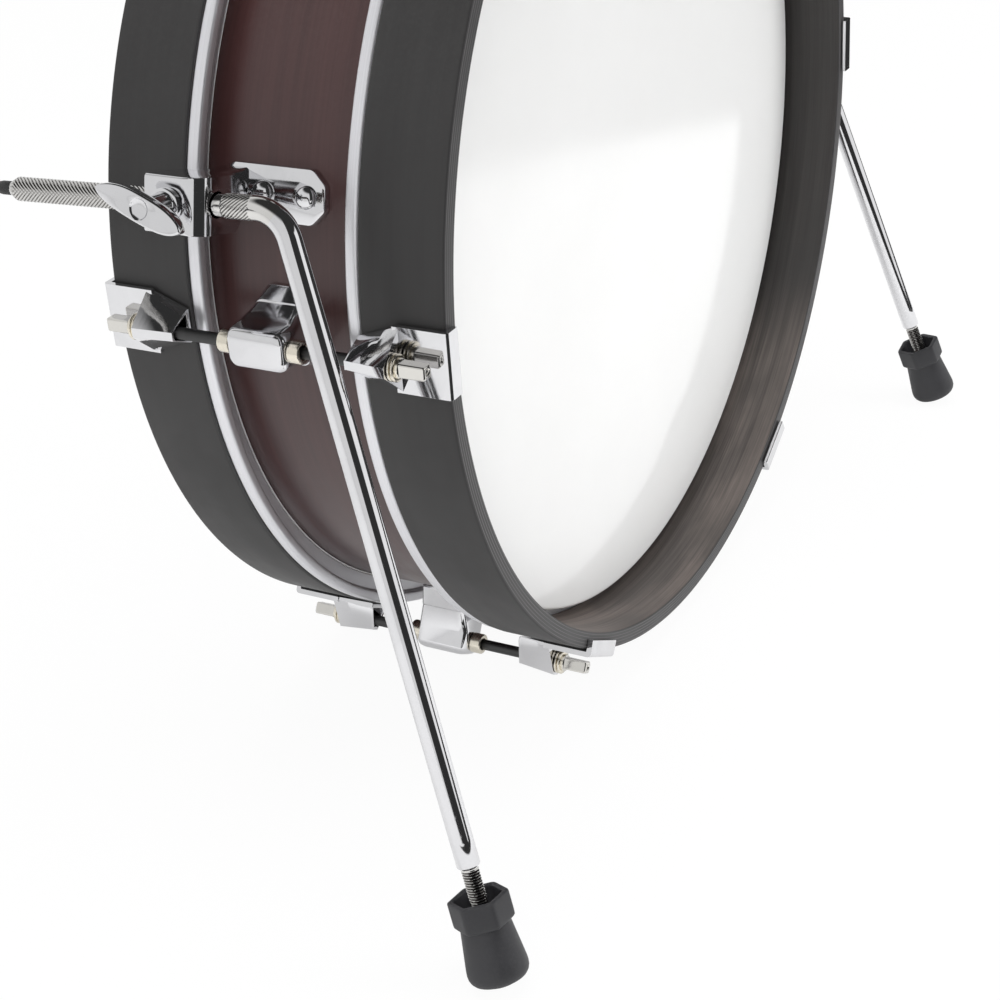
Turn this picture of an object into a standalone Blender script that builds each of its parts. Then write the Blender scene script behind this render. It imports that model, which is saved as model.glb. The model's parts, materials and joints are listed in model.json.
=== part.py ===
"""Bass drum: a shallow eighteen inch shell with wide ply hoops, claw tensioning and two bent-rod spurs.

Metres, +Z up. The drum's axis runs front to rear along +Y, with the front head at -Y, and the whole drum
leans back so that it stands on its two rubber feet and on the rear edge of the batter hoop. The origin is
on the floor, under the middle of everything.
"""
import math

import bmesh
import bpy
from mathutils import Matrix, Vector

MM = 0.001

# Clearances and facets
FIT = 0.3 * MM
ROUND_STEPS = 60
SMALL_STEPS = 10
STEP = 0.05 * MM
WELD = 0.01 * MM

# Shell and heads
SHELL_OUTER_RADIUS = 228 * MM
SHELL_WALL = 7 * MM
SHELL_DEPTH = 105.2 * MM
BEARING_EDGE_CUT = 4.5 * MM
BEARING_EDGE_EASE = 2 * MM
FILM = 0.6 * MM
FILM_BEND = 2 * MM
HEAD_RECESS = 31 * MM
HEAD_HOOP_WALL = 13.2 * MM
HEAD_HOOP_WIDTH = 6.5 * MM
HEAD_HOOP_RIM = 5.7 * MM
HEAD_HOOP_WEB = 2 * MM
COLLAR_GRIP = 1.8 * MM

# Wooden hoops
HOOP_WALL = 9 * MM
HOOP_WIDTH = 41 * MM
HOOP_EDGE = 1.4 * MM
HOOP_SEAT = 8.4 * MM

# Claws, washers and tension rods
TENSION_COUNT = 6
CLAW_PAD = 0.8 * MM
CLAW_PLATE = 2.6 * MM
CLAW_WIDTH = 30 * MM
CLAW_LIP_REACH = 5.5 * MM
CLAW_GABLE = 20.5 * MM
CLAW_GABLE_WALL = 3 * MM
CLAW_GABLE_RIDGE = 4.6 * MM
CLAW_LENGTH = 41 * MM
CLAW_TIP_WIDTH = 15 * MM
CLAW_ROOF = 2 * MM
CLAW_SKIRT = 1.5 * MM
CLAW_HOLLOW_SKIRT = 0.5 * MM
WASHER_RADIUS = 6 * MM
WASHER_LIFT = 0.6 * MM
WASHER_THICKNESS = 1.2 * MM
WASHER_GROOVE = 0.5 * MM
ROD_RADIUS = 2.75 * MM
ROD_COLLAR_RADIUS = 4.4 * MM
ROD_COLLAR = 1.6 * MM
KEY_HEAD_FLAT = 6.2 * MM
KEY_HEAD_TIP_FLAT = 5 * MM
KEY_HEAD_LENGTH = 12 * MM

# Lugs and the swivel nuts in them
LUG_BASE_WIDTH = 36 * MM
LUG_BASE_LENGTH = 25 * MM
LUG_WAIST_WIDTH = 23.5 * MM
LUG_WAIST_LENGTH = 24.5 * MM
LUG_WAIST_DROP = 18.5 * MM
LUG_STEP_WIDTH = 20.5 * MM
LUG_STEP_LENGTH = 25.6 * MM
LUG_STEP_DROP = 15.5 * MM
LUG_NOSE_WIDTH = 19.4 * MM
LUG_NOSE_LENGTH = 29.4 * MM
LUG_NOSE_DROP = 4 * MM
LUG_BROW_WIDTH = 18 * MM
LUG_BROW_RISE = 3.6 * MM
LUG_CROWN_WIDTH = 11.6 * MM
LUG_CROWN_LENGTH = 22.4 * MM
LUG_CROWN_RISE = 7.2 * MM
LUG_CORNER = 4 * MM
NUT_SPIGOT_RADIUS = 4 * MM
NUT_SPIGOT_LENGTH = 10 * MM
NUT_FLANGE_RADIUS = 5.2 * MM
NUT_FLANGE_LENGTH = 5.8 * MM

# Spur brackets
BRACKET_ANGLE = math.radians(14.4)
BRACKET_HOOP_GAP = 3.7 * MM
PLATE_LENGTH = 53.5 * MM
PLATE_WIDTH = 24 * MM
PLATE_THICKNESS = 3.2 * MM
PLATE_CORNER = 6.5 * MM
PLATE_RIM = 1 * MM
NECK_LENGTH = 10.5 * MM
NECK_WIDTH = 20 * MM
ARM_REAR_SHY = 1.6 * MM
ARM_LENGTH = 27 * MM
ARM_WIDTH = 23.6 * MM
ARM_BEYOND_ROD = 12.5 * MM
ARM_BEHIND_ROD = 19.6 * MM
ARM_BELLY = 6.4 * MM
ARM_BELLY_STEPS = 6
ARM_EDGE = 1.6 * MM
ARM_ROUND = 4.5 * MM
CLAMP_AHEAD = 13.5 * MM
SCREW_HEAD_RADIUS = 5.2 * MM
SCREW_HEAD_RISE = 3.2 * MM
SCREW_DOME = ((0.6, 0.85), (1.0, 0.4))
SCREW_INSET = 9 * MM
SCREW_SPACING = 22 * MM

# Wing bolts
BOLT_RADIUS = 4 * MM
WING_HUB_RADIUS = 7.2 * MM
WING_HUB_STEP = 3.6 * MM
WING_NECK_RADIUS = 5.6 * MM
WING_NECK_TOP_RADIUS = 4.6 * MM
WING_FOOT = 10.5 * MM
WING_BROW = 15.5 * MM
WING_FACE = 19.5 * MM
WING_FOOT_SHARE = 0.55
WING_SPAN = 42 * MM
WING_WIDTH = 11.5 * MM
WING_TURN = math.radians(20)
# A quarter of the wings' outline, as shares of half the span and of half the width
WING_SHAPE = ((1, 0.22), (0.8, 0.66), (0.4, 0.95), (0, 1))
DIMPLE_RADIUS = 4.4 * MM
DIMPLE_DEPTH = 1.4 * MM

# Spurs: a knurled rod through the bracket, bent down into a leg with a threaded end
SPUR_RADIUS = 5.25 * MM
SPUR_HOOP_GAP = 25 * MM
SPUR_TILT = math.radians(2)
SPUR_BEND = math.radians(75)
SPUR_BEND_RADIUS = 16 * MM
SPUR_BEND_STEPS = 7
SPUR_SPLAY = math.radians(8.6)
SPUR_CORNER_AHEAD = 46.5 * MM
SPUR_REAR_LENGTH = 138 * MM
SPUR_REAR_CHAMFER = 2 * MM
SPUR_REAR_TAPER = 3.6 * MM
SPUR_LEG_LENGTH = 344 * MM
STUD_RADIUS = 4 * MM
STUD_SHOWING = 13.7 * MM
STUD_GRIP = 20 * MM
ROD_END_LENGTH = 11 * MM
ROD_END_RADIUS = 3 * MM
ROD_END_TIP_RADIUS = 2 * MM

# Rubber feet
FOOT_LENGTH = 42 * MM
FOOT_RADIUS = 13.85 * MM
FOOT_NECK_RADIUS = 11.25 * MM
FOOT_SOLE_RADIUS = 19 * MM
FOOT_FLAT = 0.6 * MM
FOOT_CUP_FLATS = 24.4 * MM
FOOT_CUP_HEIGHT = 12.7 * MM
FOOT_CUP_WALL = 2.6 * MM
FOOT_CUP_DEPTH = 9 * MM
FOOT_CUP_CHAMFER = 1.6 * MM
FOOT_BORE_DEPTH = 32 * MM
FOOT_SIDES = 18
FOOT_DOME_RINGS = 4

# Radii that follow from what seats on what
FILM_INNER_RADIUS = SHELL_OUTER_RADIUS + FIT
FILM_OUTER_RADIUS = FILM_INNER_RADIUS + FILM
HEAD_HOOP_INNER_RADIUS = FILM_OUTER_RADIUS + FIT
HEAD_HOOP_OUTER_RADIUS = HEAD_HOOP_INNER_RADIUS + HEAD_HOOP_WALL
HOOP_INNER_RADIUS = HEAD_HOOP_OUTER_RADIUS - HOOP_SEAT
HOOP_OUTER_RADIUS = HOOP_INNER_RADIUS + HOOP_WALL
CLAW_UNDERSIDE = HOOP_OUTER_RADIUS + CLAW_PAD
CLAW_TOP = CLAW_UNDERSIDE + CLAW_PLATE
ROD_CIRCLE = CLAW_TOP + WASHER_LIFT + WASHER_RADIUS
SPUR_CIRCLE = HOOP_OUTER_RADIUS + SPUR_HOOP_GAP + SPUR_RADIUS

# Distances along the axis, measured from the middle of the shell towards either head
FILM_INNER = SHELL_DEPTH / 2 + FIT
FILM_OUTER = FILM_INNER + FILM
HOOP_FACE = FILM_OUTER + HEAD_RECESS
HOOP_BACK = HOOP_FACE - HOOP_WIDTH
HEAD_HOOP_FACE = HOOP_BACK - FIT
HEAD_HOOP_BACK = HEAD_HOOP_FACE - HEAD_HOOP_WIDTH
BRACKET_REAR = HEAD_HOOP_BACK - BRACKET_HOOP_GAP
CLAMP_CENTRE = BRACKET_REAR - CLAMP_AHEAD
ARM_FACE = SPUR_CIRCLE + ARM_BEYOND_ROD

SIDES = {"left": -1, "right": 1}
HEADS = {"front": -1, "batter": 1}


def finish(name, colour, roughness, metallic=0.0):
    """Return a Principled material of one colour."""
    material = bpy.data.materials.new(name)
    material.use_nodes = True
    shader = material.node_tree.nodes["Principled BSDF"]
    shader.inputs["Base Color"].default_value = (*colour, 1.0)
    shader.inputs["Roughness"].default_value = roughness
    shader.inputs["Metallic"].default_value = metallic
    return material


def place(name, mesh, material, parent, matrix=None):
    """Add a named part with its material, placed under its parent."""
    part = bpy.data.objects.new(name, mesh)
    PARTS.objects.link(part)
    part.parent = parent
    part.matrix_local = matrix or Matrix.Identity(4)
    part.data.materials.clear()
    part.data.materials.append(material)
    return part


def smooth(mesh, angle=math.radians(35)):
    """Shade a mesh smooth, with its harder edges kept."""
    mesh.shade_smooth()
    mesh.set_sharp_from_angle(angle=angle)
    return mesh


def profile_mesh(name, points, closed):
    """Return a line of edges in the XZ plane, for a Screw modifier."""
    edges = [(i, i + 1) for i in range(len(points) - 1)]
    if closed:
        edges.append((len(points) - 1, 0))
    mesh = bpy.data.meshes.new(name)
    mesh.from_pydata([(x, 0, z) for x, z in points], edges, [])
    return mesh


def turn(part, steps):
    """Turn a part's profile once round its own Z axis."""
    screw = part.modifiers.new("turned", "SCREW")
    screw.steps = steps
    screw.render_steps = steps
    screw.use_merge_vertices = True
    screw.merge_threshold = WELD
    screw.use_smooth_shade = True


def lofted(name, rings):
    """Return a closed mesh through rings of equal count, with both ends capped."""
    form = bmesh.new()
    loops = [[form.verts.new(point) for point in ring] for ring in rings]
    count = len(rings[0])
    for low, high in zip(loops, loops[1:]):
        for i in range(count):
            j = (i + 1) % count
            form.faces.new((low[i], low[j], high[j], high[i]))
    form.faces.new(loops[0])
    form.faces.new(loops[-1])
    bmesh.ops.recalc_face_normals(form, faces=form.faces)
    mesh = bpy.data.meshes.new(name)
    form.to_mesh(mesh)
    form.free()
    return mesh


def faceted(mesh):
    """Split a mesh's twisted faces along their longer diagonals, so that they bulge outwards."""
    form = bmesh.new()
    form.from_mesh(mesh)
    four = [face for face in form.faces if len(face.verts) == 4]
    bmesh.ops.triangulate(form, faces=four, quad_method="LONG_EDGE")
    form.to_mesh(mesh)
    form.free()
    return mesh


def circle(radius, steps, along, axis="Y"):
    """Return a ring of points round the Y or Z axis, at one place along it."""
    angles = [2 * math.pi * i / steps for i in range(steps)]
    if axis == "Z":
        return [(radius * math.cos(a), radius * math.sin(a), along) for a in angles]
    return [(radius * math.cos(a), along, radius * math.sin(a)) for a in angles]


def polygon_radius(angle, half_flat, sides):
    """Return how far a regular polygon reaches in a direction, with a flat facing angle zero."""
    wedge = 2 * math.pi / sides
    return half_flat / math.cos((angle + wedge / 2) % wedge - wedge / 2)


def polygon(half_flat, sides, steps, along, axis="Y", turned=0.0):
    """Return a ring of points on a regular polygon round the Y or Z axis, with its first flat turned."""
    ring = []
    for i in range(steps):
        angle = 2 * math.pi * i / steps
        radius = polygon_radius(angle - turned, half_flat, sides)
        across, up = radius * math.cos(angle), radius * math.sin(angle)
        ring.append((across, up, along) if axis == "Z" else (across, along, up))
    return ring


def cut_rectangle(near, far, half_width, corner, radial):
    """Return an eight-cornered ring in a plane square to the radius, from near to far along the axis."""
    return [
        (radial, near + corner, -half_width), (radial, far - corner, -half_width),
        (radial, far, -half_width + corner), (radial, far, half_width - corner),
        (radial, far - corner, half_width), (radial, near + corner, half_width),
        (radial, near, half_width - corner), (radial, near, -half_width + corner),
    ]


def scratch(name, mesh, matrix=None):
    """Add a cutter or a piece to be joined, kept out of the drum itself."""
    tool = bpy.data.objects.new(name, mesh)
    CUTTERS.objects.link(tool)
    tool.matrix_world = matrix or Matrix.Identity(4)
    tool.hide_render = True
    tool.display_type = "WIRE"
    return tool


def combined(name, base, steps):
    """Return the mesh of a base with other meshes joined to it or cut from it, in order."""
    work = scratch(name, base)
    for index, (operation, mesh) in enumerate(steps):
        boolean = work.modifiers.new(f"{operation.lower()}_{index}", "BOOLEAN")
        boolean.operation = operation
        boolean.object = scratch(f"{name}_{index}", mesh)
    bpy.context.view_layer.update()
    result = bpy.data.meshes.new_from_object(work.evaluated_get(bpy.context.evaluated_depsgraph_get()))
    work.modifiers.clear()
    result.name = name
    return result


def meshed(name, curve):
    """Return a curve's own surface as a welded mesh, with the curve removed."""
    work = bpy.data.objects.new(name, curve)
    CUTTERS.objects.link(work)
    bpy.context.view_layer.update()
    mesh = bpy.data.meshes.new_from_object(work.evaluated_get(bpy.context.evaluated_depsgraph_get()))
    form = bmesh.new()
    form.from_mesh(mesh)
    bmesh.ops.remove_doubles(form, verts=form.verts, dist=WELD)
    bmesh.ops.recalc_face_normals(form, faces=form.faces)
    form.to_mesh(mesh)
    form.free()
    bpy.data.objects.remove(work)
    bpy.data.curves.remove(curve)
    return mesh


def flat_mesh(name, outline, low, high):
    """Return a plate of one closed outline in X and Y, from low to high along Z."""
    curve = bpy.data.curves.new(name, "CURVE")
    curve.dimensions = "2D"
    curve.fill_mode = "BOTH"
    curve.extrude = (high - low) / 2
    spline = curve.splines.new("POLY")
    spline.points.add(len(outline) - 1)
    spline.use_cyclic_u = True
    for point, (x, y) in zip(spline.points, outline):
        point.co = (x, y, 0, 1)
    mesh = meshed(name, curve)
    mesh.transform(Matrix.Translation((0, 0, (low + high) / 2)))
    return mesh


def cylinder(name, radius, start, end, steps, axis="Y"):
    """Return a plain closed cylinder from start to end along the Y or Z axis."""
    low, high = min(start, end), max(start, end)
    form = bmesh.new()
    bmesh.ops.create_cone(form, cap_ends=True, segments=steps, radius1=radius, radius2=radius,
                          depth=high - low)
    mesh = bpy.data.meshes.new(name)
    form.to_mesh(mesh)
    form.free()
    mesh.transform(Matrix.Translation((0, 0, (low + high) / 2)))
    if axis == "Y":
        mesh.transform(Matrix.Rotation(-math.pi / 2, 4, "X"))
    return mesh


def facing(head):
    """Return the turn that takes a profile's +Z to a head's outward side."""
    return Matrix.Rotation(-head * math.pi / 2, 4, "X")


def round_the_axis(angle):
    """Return the turn that takes +X to an angle round the drum's axis, from +X towards +Z."""
    return Matrix.Rotation(-angle, 4, "Y")


def tension_angles():
    """Return the angle of each lug, from the +X side upwards."""
    return [2 * math.pi * i / TENSION_COUNT for i in range(TENSION_COUNT)]


def from_hoop_face(head, angle):
    """Return the frame of a claw: its +Y runs from a hoop's face towards the shell."""
    over = Matrix.Rotation(math.pi, 4, "X") if head > 0 else Matrix.Identity(4)
    return round_the_axis(angle) @ Matrix.Translation((0, head * HOOP_FACE, 0)) @ over


def build_shell(root):
    """The shell is a tube whose two ends are cut away inside, down to an eased bearing edge."""
    half = SHELL_DEPTH / 2
    inner = SHELL_OUTER_RADIUS - SHELL_WALL
    cut = min(BEARING_EDGE_CUT, SHELL_WALL - BEARING_EDGE_EASE)
    eased = SHELL_OUTER_RADIUS - BEARING_EDGE_EASE
    points = [
        (eased, half), (SHELL_OUTER_RADIUS, half - BEARING_EDGE_EASE),
        (SHELL_OUTER_RADIUS, -half + BEARING_EDGE_EASE), (eased, -half),
        (inner, -half + cut), (inner, half - cut),
    ]
    shell = place("shell", profile_mesh("shell", points, True), LACQUER, root, facing(1))
    turn(shell, ROUND_STEPS)


def film_mesh():
    """A head's film is a shallow open cup: a disc, a rim bent over the bearing edge and a collar."""
    collar_end = HEAD_HOOP_FACE - COLLAR_GRIP
    mesh = cylinder("film", FILM_OUTER_RADIUS, collar_end, FILM_OUTER, ROUND_STEPS, "Z")
    form = bmesh.new()
    form.from_mesh(mesh)
    bmesh.ops.delete(form, geom=[min(form.faces, key=lambda face: face.calc_center_median().z)],
                     context="FACES_ONLY")
    disc = max(form.faces, key=lambda face: face.calc_center_median().z)
    bmesh.ops.bevel(form, geom=disc.edges[:], offset=FILM_BEND, segments=1, affect="EDGES")
    form.to_mesh(mesh)
    form.free()
    return mesh


def build_head(side, head, root):
    """A head is a film that runs down the shell into a metal hoop of angle section."""
    film = place(f"{side}_head", film_mesh(), FILM_WHITE, root, facing(head))
    wall = film.modifiers.new("wall", "SOLIDIFY")
    wall.thickness = FILM
    wall.use_even_offset = True
    inner, outer = HEAD_HOOP_INNER_RADIUS, HEAD_HOOP_OUTER_RADIUS
    floor = HEAD_HOOP_FACE - HEAD_HOOP_WEB
    hoop = [
        (inner, HEAD_HOOP_FACE), (outer, HEAD_HOOP_FACE), (outer, HEAD_HOOP_BACK),
        (outer - HEAD_HOOP_RIM, HEAD_HOOP_BACK), (outer - HEAD_HOOP_RIM, floor), (inner, floor),
    ]
    name = f"{side}_head_hoop"
    turn(place(name, profile_mesh(name, hoop, True), ALUMINIUM, root, facing(head)), ROUND_STEPS)


def build_hoop(side, head, root):
    """A wooden hoop is a wide band with eased edges, seated on the metal hoop of its head."""
    inner, outer, edge = HOOP_INNER_RADIUS, HOOP_OUTER_RADIUS, HOOP_EDGE
    band = [
        (inner + edge, HOOP_FACE), (outer - edge, HOOP_FACE), (outer, HOOP_FACE - edge),
        (outer, HOOP_BACK + edge), (outer - edge, HOOP_BACK), (inner, HOOP_BACK), (inner, HOOP_FACE - edge),
    ]
    name = f"{side}_hoop"
    turn(place(name, profile_mesh(name, band, True), PLY_BLACK, root, facing(head)), ROUND_STEPS)


def claw_mesh():
    """A claw is a hooked plate with a roof over the rod, walled at its gable and open at its tip."""
    half, tip = CLAW_WIDTH / 2, CLAW_TIP_WIDTH / 2
    lip_face = -FIT - CLAW_PLATE
    lip_end = HOOP_OUTER_RADIUS - CLAW_LIP_REACH
    hook = [
        (lip_end, lip_face), (CLAW_TOP, lip_face), (CLAW_TOP, CLAW_GABLE + CLAW_GABLE_WALL),
        (CLAW_UNDERSIDE, CLAW_GABLE + CLAW_GABLE_WALL), (CLAW_UNDERSIDE, -FIT), (lip_end, -FIT),
    ]
    plate = flat_mesh("claw_plate", hook, -half, half)
    ridge = CLAW_GABLE_RIDGE / 2
    roof_top = ROD_CIRCLE + ROD_RADIUS + FIT + CLAW_ROOF

    def house(along, base, peak, floor, skirt):
        """Return a six-cornered gable section: upright skirts, two slopes and a narrow ridge."""
        sill = floor + skirt
        return [
            (floor, along, -base), (sill, along, -base), (peak, along, -ridge),
            (peak, along, ridge), (sill, along, base), (floor, along, base),
        ]

    roof = faceted(lofted("claw_roof", [
        house(CLAW_GABLE, half - FIT, roof_top + CLAW_ROOF, CLAW_UNDERSIDE, CLAW_SKIRT),
        house(CLAW_LENGTH, tip, roof_top, CLAW_UNDERSIDE, CLAW_SKIRT),
    ]))
    hollow_start = CLAW_GABLE + CLAW_GABLE_WALL + FIT
    hollow_end = CLAW_LENGTH + CLAW_ROOF
    hollow_floor = CLAW_TOP + FIT
    hollow = faceted(lofted("claw_hollow", [
        house(hollow_start, half - 2.5 * CLAW_ROOF, roof_top, hollow_floor, CLAW_HOLLOW_SKIRT),
        house(hollow_end, tip - CLAW_ROOF, roof_top - CLAW_ROOF, hollow_floor, CLAW_HOLLOW_SKIRT),
    ]))
    bore_end = hollow_start + CLAW_ROOF
    bore = cylinder("claw_bore", ROD_RADIUS + FIT, CLAW_GABLE - CLAW_ROOF, bore_end, SMALL_STEPS)
    bore.transform(Matrix.Translation((ROD_CIRCLE, 0, 0)))
    return combined("claw", plate, [("UNION", roof), ("DIFFERENCE", hollow), ("DIFFERENCE", bore)])


def rod_mesh():
    """A tension rod is a square key head, a collar, two washers and a long shank, as one turned piece."""
    seat = CLAW_GABLE - FIT
    stack = [seat - 2 * WASHER_THICKNESS - WASHER_GROOVE, seat]
    washer_ends = [stack[0], stack[0] + WASHER_THICKNESS, stack[1] - WASHER_THICKNESS, stack[1]]
    collar = stack[0] - ROD_COLLAR
    head_start = collar - KEY_HEAD_LENGTH
    end = HOOP_FACE - (LUG_NOSE_LENGTH / 2 - NUT_SPIGOT_LENGTH)
    flat = KEY_HEAD_FLAT / 2

    def ring(radius, along):
        return circle(radius, SMALL_STEPS - 2, along)

    rings = [
        polygon(KEY_HEAD_TIP_FLAT / 2, 4, SMALL_STEPS - 2, head_start),
        polygon(flat, 4, SMALL_STEPS - 2, head_start + flat / 3),
        polygon(flat, 4, SMALL_STEPS - 2, collar), ring(ROD_COLLAR_RADIUS, collar + STEP),
        ring(ROD_COLLAR_RADIUS, washer_ends[0]), ring(WASHER_RADIUS, washer_ends[0] + STEP),
        ring(WASHER_RADIUS, washer_ends[1]), ring(ROD_COLLAR_RADIUS, washer_ends[1] + STEP),
        ring(ROD_COLLAR_RADIUS, washer_ends[2] - STEP), ring(WASHER_RADIUS, washer_ends[2]),
        ring(WASHER_RADIUS, washer_ends[3] - STEP), ring(ROD_RADIUS, washer_ends[3]),
        ring(ROD_RADIUS, end - ROD_RADIUS / 2), ring(ROD_RADIUS / 2, end),
    ]
    return smooth(lofted("tension_rod", rings))


def nut_mesh():
    """A swivel nut is a flanged bush: its spigot lies in the lug and its flange outside, round the rod."""
    outer_end = LUG_NOSE_LENGTH / 2 + FIT + NUT_FLANGE_LENGTH
    flange = LUG_NOSE_LENGTH / 2 + FIT
    spigot_end = LUG_NOSE_LENGTH / 2 - NUT_SPIGOT_LENGTH
    bore = ROD_RADIUS + FIT
    points = [
        (bore, outer_end), (NUT_FLANGE_RADIUS, outer_end), (NUT_FLANGE_RADIUS, flange),
        (NUT_SPIGOT_RADIUS, flange), (NUT_SPIGOT_RADIUS, spigot_end), (bore, spigot_end),
    ]
    return profile_mesh("swivel_nut", points, True)


def lug_mesh():
    """A lug is a casting that flares to the shell, steps in and swells to a blunt nose round the rods."""
    sections = [
        (SHELL_OUTER_RADIUS + FIT, LUG_BASE_LENGTH, LUG_BASE_WIDTH),
        (ROD_CIRCLE - LUG_WAIST_DROP, LUG_WAIST_LENGTH, LUG_WAIST_WIDTH),
        (ROD_CIRCLE - LUG_STEP_DROP, LUG_STEP_LENGTH, LUG_STEP_WIDTH),
        (ROD_CIRCLE - LUG_NOSE_DROP, LUG_NOSE_LENGTH, LUG_NOSE_WIDTH),
        (ROD_CIRCLE + LUG_BROW_RISE, LUG_NOSE_LENGTH, LUG_BROW_WIDTH),
        (ROD_CIRCLE + LUG_CROWN_RISE, LUG_CROWN_LENGTH, LUG_CROWN_WIDTH),
    ]
    body = lofted("lug_body", [cut_rectangle(-length / 2, length / 2, width / 2, LUG_CORNER, radial)
                               for radial, length, width in sections])
    bore = cylinder("lug_bore", NUT_SPIGOT_RADIUS + FIT, -LUG_NOSE_LENGTH, LUG_NOSE_LENGTH, SMALL_STEPS)
    bore.transform(Matrix.Translation((ROD_CIRCLE, 0, 0)))
    return combined("lug", body, [("DIFFERENCE", bore)])


def build_tensioning(root):
    """Set a lug, two nuts, two rods and two claws at each tension angle."""
    lug, nut, rod, claw = lug_mesh(), nut_mesh(), rod_mesh(), claw_mesh()
    on_circle = Matrix.Translation((ROD_CIRCLE, 0, 0))
    for number, angle in enumerate(tension_angles(), 1):
        place(f"lug_{number}", lug, CHROME, root, round_the_axis(angle))
        for side, head in HEADS.items():
            frame = round_the_axis(angle) @ on_circle @ facing(head)
            turn(place(f"{side}_swivel_nut_{number}", nut, NICKEL, root, frame), SMALL_STEPS)
            place(f"{side}_claw_{number}", claw, CHROME, root, from_hoop_face(head, angle))
            rod_frame = from_hoop_face(head, angle) @ on_circle
            place(f"{side}_tension_rod_{number}", rod, ROD_STEEL, root, rod_frame)


def bracket_turn(side):
    """Return the turn that takes +X to where a side's bracket stands out from the drum."""
    return round_the_axis(BRACKET_ANGLE if side > 0 else math.pi - BRACKET_ANGLE)


def spur_in_bracket(side):
    """Return a spur's frame seen from its own bracket."""
    return bracket_turn(side).inverted() @ spur_frame(side)


def clamp_drop(side):
    """Return how far the tilted spur lies off the bracket's own radius where the bolt meets it."""
    return (spur_in_bracket(side) @ Vector((0, SPUR_CORNER_AHEAD, 0))).z


def arm_mesh():
    """A clamp arm is a block with a flat outer face, a bellied inner end and a rounded front corner."""
    half = ARM_WIDTH / 2
    belly_floor = SPUR_CIRCLE - ARM_BEHIND_ROD
    outline = [
        (ARM_FACE - ARM_EDGE, half), (ARM_FACE, half - ARM_EDGE),
        (ARM_FACE, ARM_EDGE - half), (ARM_FACE - ARM_EDGE, -half),
    ]
    for i in range(ARM_BELLY_STEPS + 1):
        share = 2 * i / ARM_BELLY_STEPS - 1
        outline.append((belly_floor + ARM_BELLY * share * share, half * share))
    rear = BRACKET_REAR - ARM_REAR_SHY
    front = rear - ARM_LENGTH
    arm = flat_mesh("bracket_arm", outline, -rear, -front)
    arm.transform(Matrix.Rotation(math.pi / 2, 4, "X"))
    form = bmesh.new()
    form.from_mesh(arm)
    corner = [edge for edge in form.edges
              if all(v.co.x > ARM_FACE - WELD and v.co.y < front + WELD for v in edge.verts)]
    bmesh.ops.bevel(form, geom=corner, offset=ARM_ROUND, segments=3, profile=0.5, affect="EDGES")
    form.to_mesh(arm)
    form.free()
    return arm


def bracket_mesh(side):
    """A spur bracket is a plate on the shell, two dome screws, a neck and an arm with two bores."""
    seat = SHELL_OUTER_RADIUS + FIT
    plate_top = seat + PLATE_THICKNESS
    front = BRACKET_REAR - PLATE_LENGTH
    half, rim = PLATE_WIDTH / 2, PLATE_RIM
    plate = lofted("bracket_plate", [
        cut_rectangle(front, BRACKET_REAR, half, PLATE_CORNER, seat),
        cut_rectangle(front, BRACKET_REAR, half, PLATE_CORNER, plate_top - rim),
        cut_rectangle(front + rim, BRACKET_REAR - rim, half - rim, PLATE_CORNER, plate_top),
    ])
    lower = Matrix.Translation((0, 0, clamp_drop(side)))
    neck_rear = BRACKET_REAR - ARM_REAR_SHY - FIT
    neck = lofted("bracket_neck", [
        cut_rectangle(neck_rear - NECK_LENGTH, neck_rear, NECK_WIDTH / 2, ARM_EDGE, radial)
        for radial in (seat + FIT, SPUR_CIRCLE - SPUR_RADIUS)
    ])
    arm = arm_mesh()
    for piece in (neck, arm):
        piece.transform(lower)
    steps = [("UNION", neck), ("UNION", arm)]
    dome = [(plate_top - FIT, 1.0)]
    dome += [(plate_top + SCREW_HEAD_RISE * rise, share) for rise, share in SCREW_DOME]
    for index in range(2):
        middle = front + SCREW_INSET + index * SCREW_SPACING
        head = lofted(f"bracket_screw_{index}", [
            [(radial, middle + SCREW_HEAD_RADIUS * share * c, SCREW_HEAD_RADIUS * share * s)
             for c, s, _ in circle(1, SMALL_STEPS, 0, "Z")] for radial, share in dome])
        steps.append(("UNION", head))
    rod_bore = cylinder("bracket_rod_bore", SPUR_RADIUS + FIT, 0, SPUR_REAR_LENGTH, SMALL_STEPS + 2)
    rod_bore.transform(spur_in_bracket(side))
    bolt_bore = cylinder("bracket_bolt_bore", BOLT_RADIUS + FIT, SPUR_CIRCLE, ARM_FACE + PLATE_LENGTH,
                         SMALL_STEPS, "Z")
    bolt_bore.transform(Matrix.Translation((0, CLAMP_CENTRE, 0)) @ Matrix.Rotation(math.pi / 2, 4, "Y"))
    bolt_bore.transform(lower)
    return combined("spur_bracket", plate, steps + [("DIFFERENCE", rod_bore), ("DIFFERENCE", bolt_bore)])


def wing_ring(share, height):
    """Return the wings' leaf-shaped outline, drawn in by a share of its size, at one height."""
    span, width = WING_SPAN / 2 * share, WING_WIDTH / 2 * share
    quarter = [(span * along, width * across) for along, across in WING_SHAPE]
    half = quarter + [(-x, y) for x, y in reversed(quarter[:-1])]
    return [(x, y, height) for x, y in half] + [(-x, -y, height) for x, y in half]


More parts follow.
